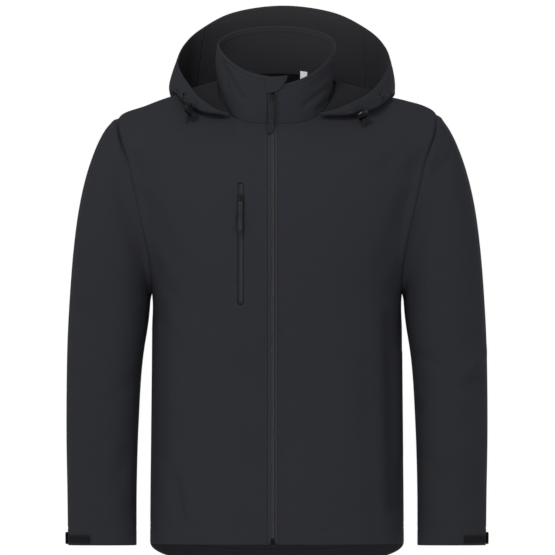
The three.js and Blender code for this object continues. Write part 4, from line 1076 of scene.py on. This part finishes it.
def along_line(points, normals, pitch, across=False, start=0.5):
    """Centres at an even pitch along a line, and the turn that lays a grain along it, or across it, on its face."""
    length = arc_lengths(points[:, None], 0)[:, 0]
    count = max(1, int(length[-1] / pitch))
    even = (np.arange(count) + start) * length[-1] / count

    def read(values, at):
        return np.stack([np.interp(at, length, values[:, k]) for k in range(3)], -1)

    way = unit(read(points, even + 0.5) - read(points, even - 0.5))
    out = unit(read(normals, even))
    side = unit(np.cross(out, way))
    if across:
        way, side = side, -way
    turns = [Matrix((w, s, o)).transposed().to_euler() for w, s, o in zip(way, side, np.cross(way, side))]
    return read(points, even), np.array(turns)


def grains(name, lines, size, material, body_name="garment", replaces=(), uneven=0.12):
    """One mesh of grains from several lines of centres and turns."""
    centres = np.concatenate([line[0] for line in lines]) * MM
    turns = np.concatenate([line[1] for line in lines])
    mesh = bpy.data.meshes.new(name + "_points")
    mesh.from_pydata(centres.tolist(), [], [])
    mesh.attributes.new("turn", "FLOAT_VECTOR", "POINT").data.foreach_set("vector",
                                                                          turns.astype(np.float32).ravel())
    holder = bpy.data.objects.new(name + "_points", mesh)
    bpy.context.scene.collection.objects.link(holder)
    modifier = holder.modifiers.new("grains", "NODES")
    modifier.node_group = GRAINS
    values = dict(zip(("Length", "Width", "Height"), (value * MM for value in size)), Unevenness=uneven,
                  Material=material)
    for socket in GRAINS.interface.items_tree:
        if socket.in_out == "INPUT" and socket.name in values:
            modifier[socket.identifier] = values[socket.name]
    evaluated = holder.evaluated_get(bpy.context.evaluated_depsgraph_get())
    whole = bpy.data.meshes.new_from_object(evaluated)
    whole.name = name
    bpy.data.objects.remove(holder)
    if "turn" in whole.attributes:
        whole.attributes.remove(whole.attributes["turn"])
    return finished(name, whole, None, body_name, replaces)


def laid(surface, first, second, lift):
    point, normal = surface(np.asarray(first, float), np.asarray(second, float))
    return point + normal * lift, normal


def body_face(row, angle):
    row, angle = np.broadcast_arrays(row, angle)
    normal = body_normal(row, angle)
    return body(row, angle) - normal * body_creases(row, angle)[..., None], normal


def sleeve_face(side):
    def face(at, around):
        at, around = np.broadcast_arrays(at, around)
        normal = sleeve_normal(side, at, around)
        return sleeve(side, at, around) - normal * sleeve_creases(side, at, around)[..., None], normal
    return face


def collar_face(angle, up):
    return collar_form(angle, up), collar_normal(angle, up)


STITCH = (2.5, 0.55, 0.45)  # length, width and height of one stitch
PITCH = 3.3


def row_above_hem(angle, away):
    """The row of the body that lies this far above the hem."""
    low, high = body_form(np.zeros_like(angle), angle), body_form(np.ones_like(angle), angle)
    return away / np.linalg.norm(high - low, axis=-1)


def hem_stitches():
    lines = []
    for away in HEM_LINES:
        for start, end in ((-88.5, -4), (4, 88.5), (91.5, 268.5)):
            angle = np.linspace(start, end, 160)
            lines.append(along_line(*laid(body_face, row_above_hem(angle, away), angle, -0.25), PITCH))
    grains("hem_stitches", lines, STITCH, THREAD)


def front_edge_stitches():
    lines = []
    for side in (-1, 1):
        row = np.linspace(0.05, 11.95, 260)
        angle = side * angle_at_width(row, EDGE_LINE)
        lines.append(along_line(*laid(body_face, row, angle, -0.25), PITCH))
        up = np.linspace(0.02, 0.97, 30)
        angle = side * collar_angle(up, EDGE_LINE)
        up = up * collar_share(angle)
        lines.append(along_line(*laid(collar_face, angle, up, -0.3), PITCH))
    grains("front_edge_stitches", lines, STITCH, THREAD)


def collar_stitches():
    lines = []
    for up, spread in ((0.895, 17), (0.05, 9)):
        angle = np.linspace(spread, 360 - spread, 240)
        up = up * collar_share(angle)
        lines.append(along_line(*laid(collar_face, angle, up, -0.3), PITCH))
    grains("collar_stitches", lines, STITCH, THREAD)


def armhole_stitches():
    lines = []
    for side in (-1, 1):
        around = np.linspace(4, 176, 120)
        for cut, sign in ((ARMHOLE_FRONT, -1), (ARMHOLE_BACK, 1)):
            row = armhole_row(around)
            wide = np.linalg.norm(body_form(row, 90 + 0 * row) - body_form(row, 89 + 0 * row), axis=-1)
            angle = side * (90 + sign * (armhole_cut(around, cut) + 4.5 / np.maximum(wide, 1.5)))
            lines.append(along_line(*laid(body_face, row, angle, -0.2), PITCH))
    grains("armhole_stitches", lines, STITCH, THREAD)


def cuff_stitches():
    lines = []
    for side in (-1, 1):
        around = np.linspace(0, 358, 140)
        lines.append(along_line(*laid(sleeve_face(side), 10.65 + around * 0, around, -0.25), PITCH))
    grains("cuff_stitches", lines, STITCH, THREAD)


def hood_face(angle, along):
    return hood_form(angle, along), hood_normal(angle, along)


def rim_along(angle, away):
    """Where along the hood a line runs that stays this far inside its rim."""
    along = np.linspace(2, 1.3, 90)
    grid = hood_form(angle[:, None] + 0 * along, along[None, :] + 0 * angle[:, None])
    length = arc_lengths(grid, 1)
    return np.array([np.interp(away, line, along) for line in length])


def hood_stitches():
    lines = []
    along = np.linspace(0.03, 1.96, 120)
    for seam in HOOD_SEAMS:
        angle = np.full_like(along, seam)
        for away in (-3.5, 3.5):
            lines.append(along_line(*laid(hood_face, angle + away / hood_degree(angle, along), along, -0.25),
                                    PITCH))
    for start, end in ((51, 152), (154, 206), (208, 309)):
        angle = np.linspace(start, end, 160)
        lines.append(along_line(*laid(hood_face, angle, rim_along(angle, HOOD_HEM), -0.4), PITCH))
    grains("hood_stitches", lines, STITCH, THREAD)


def pocket_stitches():
    """A square row of stitches round the chest pocket's slot."""
    x, half = POCKET["x"], 7.2
    top, bottom = POCKET["top"] + 2, POCKET["bottom"] - 2
    corners = [(x - half, top), (x - half, bottom), (x + half, bottom), (x + half, top), (x - half, top)]
    lines = []
    for (x0, z0), (x1, z1) in zip(corners, corners[1:]):
        steps = max(3, int(abs(z1 - z0) / 6))
        row, angle = front_spot(np.linspace(x0, x1, steps), np.linspace(z0, z1, steps))
        lines.append(along_line(*laid(body_face, row, angle, 0.05), 2.9))
    grains("pocket_stitches", lines, STITCH, THREAD)


def tab_stitches():
    lines = []
    for side in (-1, 1):
        spot = cuff_spot(side)
        around = np.linspace(177, 268, 60)
        for at in (10.935, 10.695):
            lines.append(along_line(*laid(spot, at + around * 0, around, tab_lift(at, around)[:, None]), 3.0))
        at = np.linspace(10.925, 10.705, 8)
        lines.append(along_line(*laid(spot, at, 177.5 + at * 0, tab_lift(at, 177.5 + at * 0)[:, None]), 3.0))
        around = np.linspace(110, 160, 30)
        for at in (10.915, 10.745):
            lines.append(along_line(*laid(spot, at + around * 0, around, 1.5), 3.0))
    grains("tab_stitches", lines, STITCH, THREAD)


def guard_stitches():
    width = np.linspace(-9, 20.5, 50)
    point, normal = guard_spot(np.full_like(width, 0.1), width)
    line = along_line(point + normal * GUARD["lift"], normal, 2.9)
    grains("chin_guard_stitches", [line], STITCH, THREAD)


def coil(name, node, points, normals, half, deep, pitch=1.35):
    """The closed coil of a zip: turns from both sides that meet in the middle, over a woven band."""
    way = unit(np.gradient(points, axis=0))
    side = unit(np.cross(normals, way))
    lines = []
    for sign, start in ((-1, 0.25), (1, 0.75)):
        lines.append(along_line(points + side * sign * half * 0.5 - normals * deep, normals, pitch,
                                across=True, start=start))
    grains(name, lines, (half * 1.06, 0.92, 1.25), COIL, replaces=[node], uneven=0.3)


def zip_coils():
    at = np.concatenate([np.linspace(0.2, NECK, 300), np.linspace(NECK, 12.5, 40)[1:]])
    point, normal = zip_spot(at, np.full_like(at, 0.001))
    coil("main_zip_coil_turns", "main_zip_coil", point, normal, COIL_HALF, 0.85)
    strip("main_zip_band", None, zip_spot, zip_rows(0.19, 12.5), np.linspace(-2.6, 2.6, 5), -1.2, 0.5, TAPE,
          "zip",
          "stretched", ["front_right"], edge=0.05, reach=0.3)
    z = np.linspace(-318, -158, 60)
    point, normal = pocket_spot(z, 0 * z)
    coil("pocket_zip_coil_turns", "pocket_zip_coil", point, normal, POCKET["coil_half"], 0.85, 1.3)
    strip("pocket_zip_band", None, pocket_spot, np.linspace(-323.5, -131.5, 40), np.linspace(-4.6, 4.6, 7),
          -1.75, 0.3,
          TAPE, "zip", "stretched", ["front_right"], edge=0.05, reach=0.3)


for sew in (hem_stitches, front_edge_stitches, collar_stitches, armhole_stitches, cuff_stitches,
            hood_stitches,
            pocket_stitches, tab_stitches, guard_stitches, zip_coils):
    sew()


# The right front's values also list its pocket's zip pieces
for name, (piece, values) in SHEETS.items():
    if name == "front_right_cloth":
        values["with_pieces"] = [bpy.data.objects[word] for word in (
            "pocket_zip_tape_right_weave", "pocket_zip_tape_left_weave", "pocket_zip_band")]

# Hard pieces
for node_name, material in {
    "main_slider": SLIDER, "pocket_slider": SLIDER, "main_zip_box": MOULDED, "main_pull": GRIP,
    "pocket_pull": GRIP,
    "cord_lock_right": MOULDED, "cord_lock_left": MOULDED, "cord_plunger_right": GRIP,
    "cord_plunger_left": GRIP,
    "hood_eyelet_right": SLIDER, "hood_eyelet_left": SLIDER,
}.items():
    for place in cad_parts[node_name].material_slots:
        place.material = material


def rounded(node_name, body_name, material, radius):
    """The same hard piece with its edges rounded off."""
    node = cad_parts[node_name]
    form = bmesh.new()
    form.from_mesh(node.data)
    form.transform(node.matrix_world)
    bmesh.ops.remove_doubles(form, verts=form.verts, dist=1e-6)
    bmesh.ops.dissolve_limit(form, angle_limit=math.radians(2), verts=form.verts, edges=form.edges)
    sharp = [edge for edge in form.edges if edge.is_manifold and edge.calc_face_angle(0) > math.radians(35)]
    bmesh.ops.bevel(form, geom=sharp, offset=radius * MM, segments=3, profile=0.5, affect="EDGES",
                    clamp_overlap=True)
    bmesh.ops.triangulate(form, faces=form.faces)
    mesh = bpy.data.meshes.new(node_name + "_rounded")
    form.to_mesh(mesh)
    form.free()
    mesh.polygons.foreach_set("use_smooth", [True] * len(mesh.polygons))
    mesh.set_sharp_from_angle(angle=math.radians(50))
    return finished(node_name + "_rounded", mesh, material, body_name, [node_name])


def ridge_dashes(name, node_name, body_name, first, last):
    """A broken raised ridge down the face of a pull, pale as a painted glint, laid where it is met from the front.
    """
    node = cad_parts[node_name]
    tree = BVHTree.FromPolygons([node.matrix_world @ corner.co for corner in node.data.vertices],
                                [tuple(face.vertices) for face in node.data.polygons])
    hits = []
    for x, z in zip(np.linspace(first[0], last[0], 14), np.linspace(first[1], last[1], 14)):
        hits.append(tree.ray_cast(Vector((x * MM, -1, z * MM)), Vector((0, 1, 0)))[0])
    points = np.array([hit for hit in hits if hit]) / MM
    grains(name, [along_line(points, points * 0 + (0, -1, 0), 2.9)], (2.2, 0.6, 0.4), PAINTED_GLINT,
           body_name)


rounded("main_pull", "main_pull", GRIP, 0.45)
rounded("pocket_pull", "pocket_pull", GRIP, 0.45)
# pale dashes painted as glints along both pulls
ridge_dashes("main_pull_ridge", "main_pull", "main_pull", (-3.6, -21), (-9.0, -55))
ridge_dashes("pocket_pull_ridge", "pocket_pull", "pocket_pull", (-58, -190), (-58, -206))
rounded("cord_lock_right", "garment", MOULDED, 0.7)
rounded("cord_lock_left", "garment", MOULDED, 0.7)

# Floor and light
FLOOR_REACH = 2.4
FLOOR_Z = -1.06
floor_mesh = bpy.data.meshes.new("floor")
corners = [(x * FLOOR_REACH, y * FLOOR_REACH, FLOOR_Z) for x, y in ((-1, -1), (1, -1), (1, 1), (-1, 1))]
floor_mesh.from_pydata(corners, [], [(0, 1, 2, 3)])
floor = bpy.data.objects.new("floor", floor_mesh)
bpy.context.scene.collection.objects.link(floor)
pale = bpy.data.materials.new("pale floor")
pale.use_nodes = True
pale_shader = pale.node_tree.nodes["Principled BSDF"]
pale_shader.inputs["Base Color"].default_value = (0.9, 0.9, 0.9, 1)
pale_shader.inputs["Roughness"].default_value = 0.9
floor_mesh.materials.append(pale)

world = bpy.data.worlds.new("soft light")
bpy.context.scene.world = world
world.use_nodes = True
air = world.node_tree
seen = air.nodes.new("ShaderNodeLightPath")
level = air.nodes.new("ShaderNodeMapRange")
level.inputs["To Min"].default_value = 0.85
level.inputs["To Max"].default_value = 1.0
air.links.new(seen.outputs["Is Camera Ray"], level.inputs["Value"])
air.nodes["Background"].inputs["Color"].default_value = (1, 1, 1, 1)
air.links.new(level.outputs[0], air.nodes["Background"].inputs["Strength"])


def soft_lamp(name, at, aim, size, watts):
    data = bpy.data.lights.new(name, "AREA")
    data.shape = "SQUARE"
    data.size = size
    data.energy = watts
    lamp = bpy.data.objects.new(name, data)
    bpy.context.scene.collection.objects.link(lamp)
    lamp.location = at
    lamp.rotation_euler = (Vector(aim) - Vector(at)).to_track_quat("-Z", "Y").to_euler()


soft_lamp("upper left", (-0.9, -2.0, 2.1), (0, 0, -0.1), 0.6, 46)
soft_lamp("wide left", (-3.1, -5.2, -0.3), (0, 0, -0.3), 2.0, 44)
soft_lamp("wide right", (3.1, -5.2, -0.3), (0, 0, -0.3), 2.0, 34)
soft_lamp("behind", (0.8, 4.4, 1.4), (0, 0, -0.3), 2.4, 90)
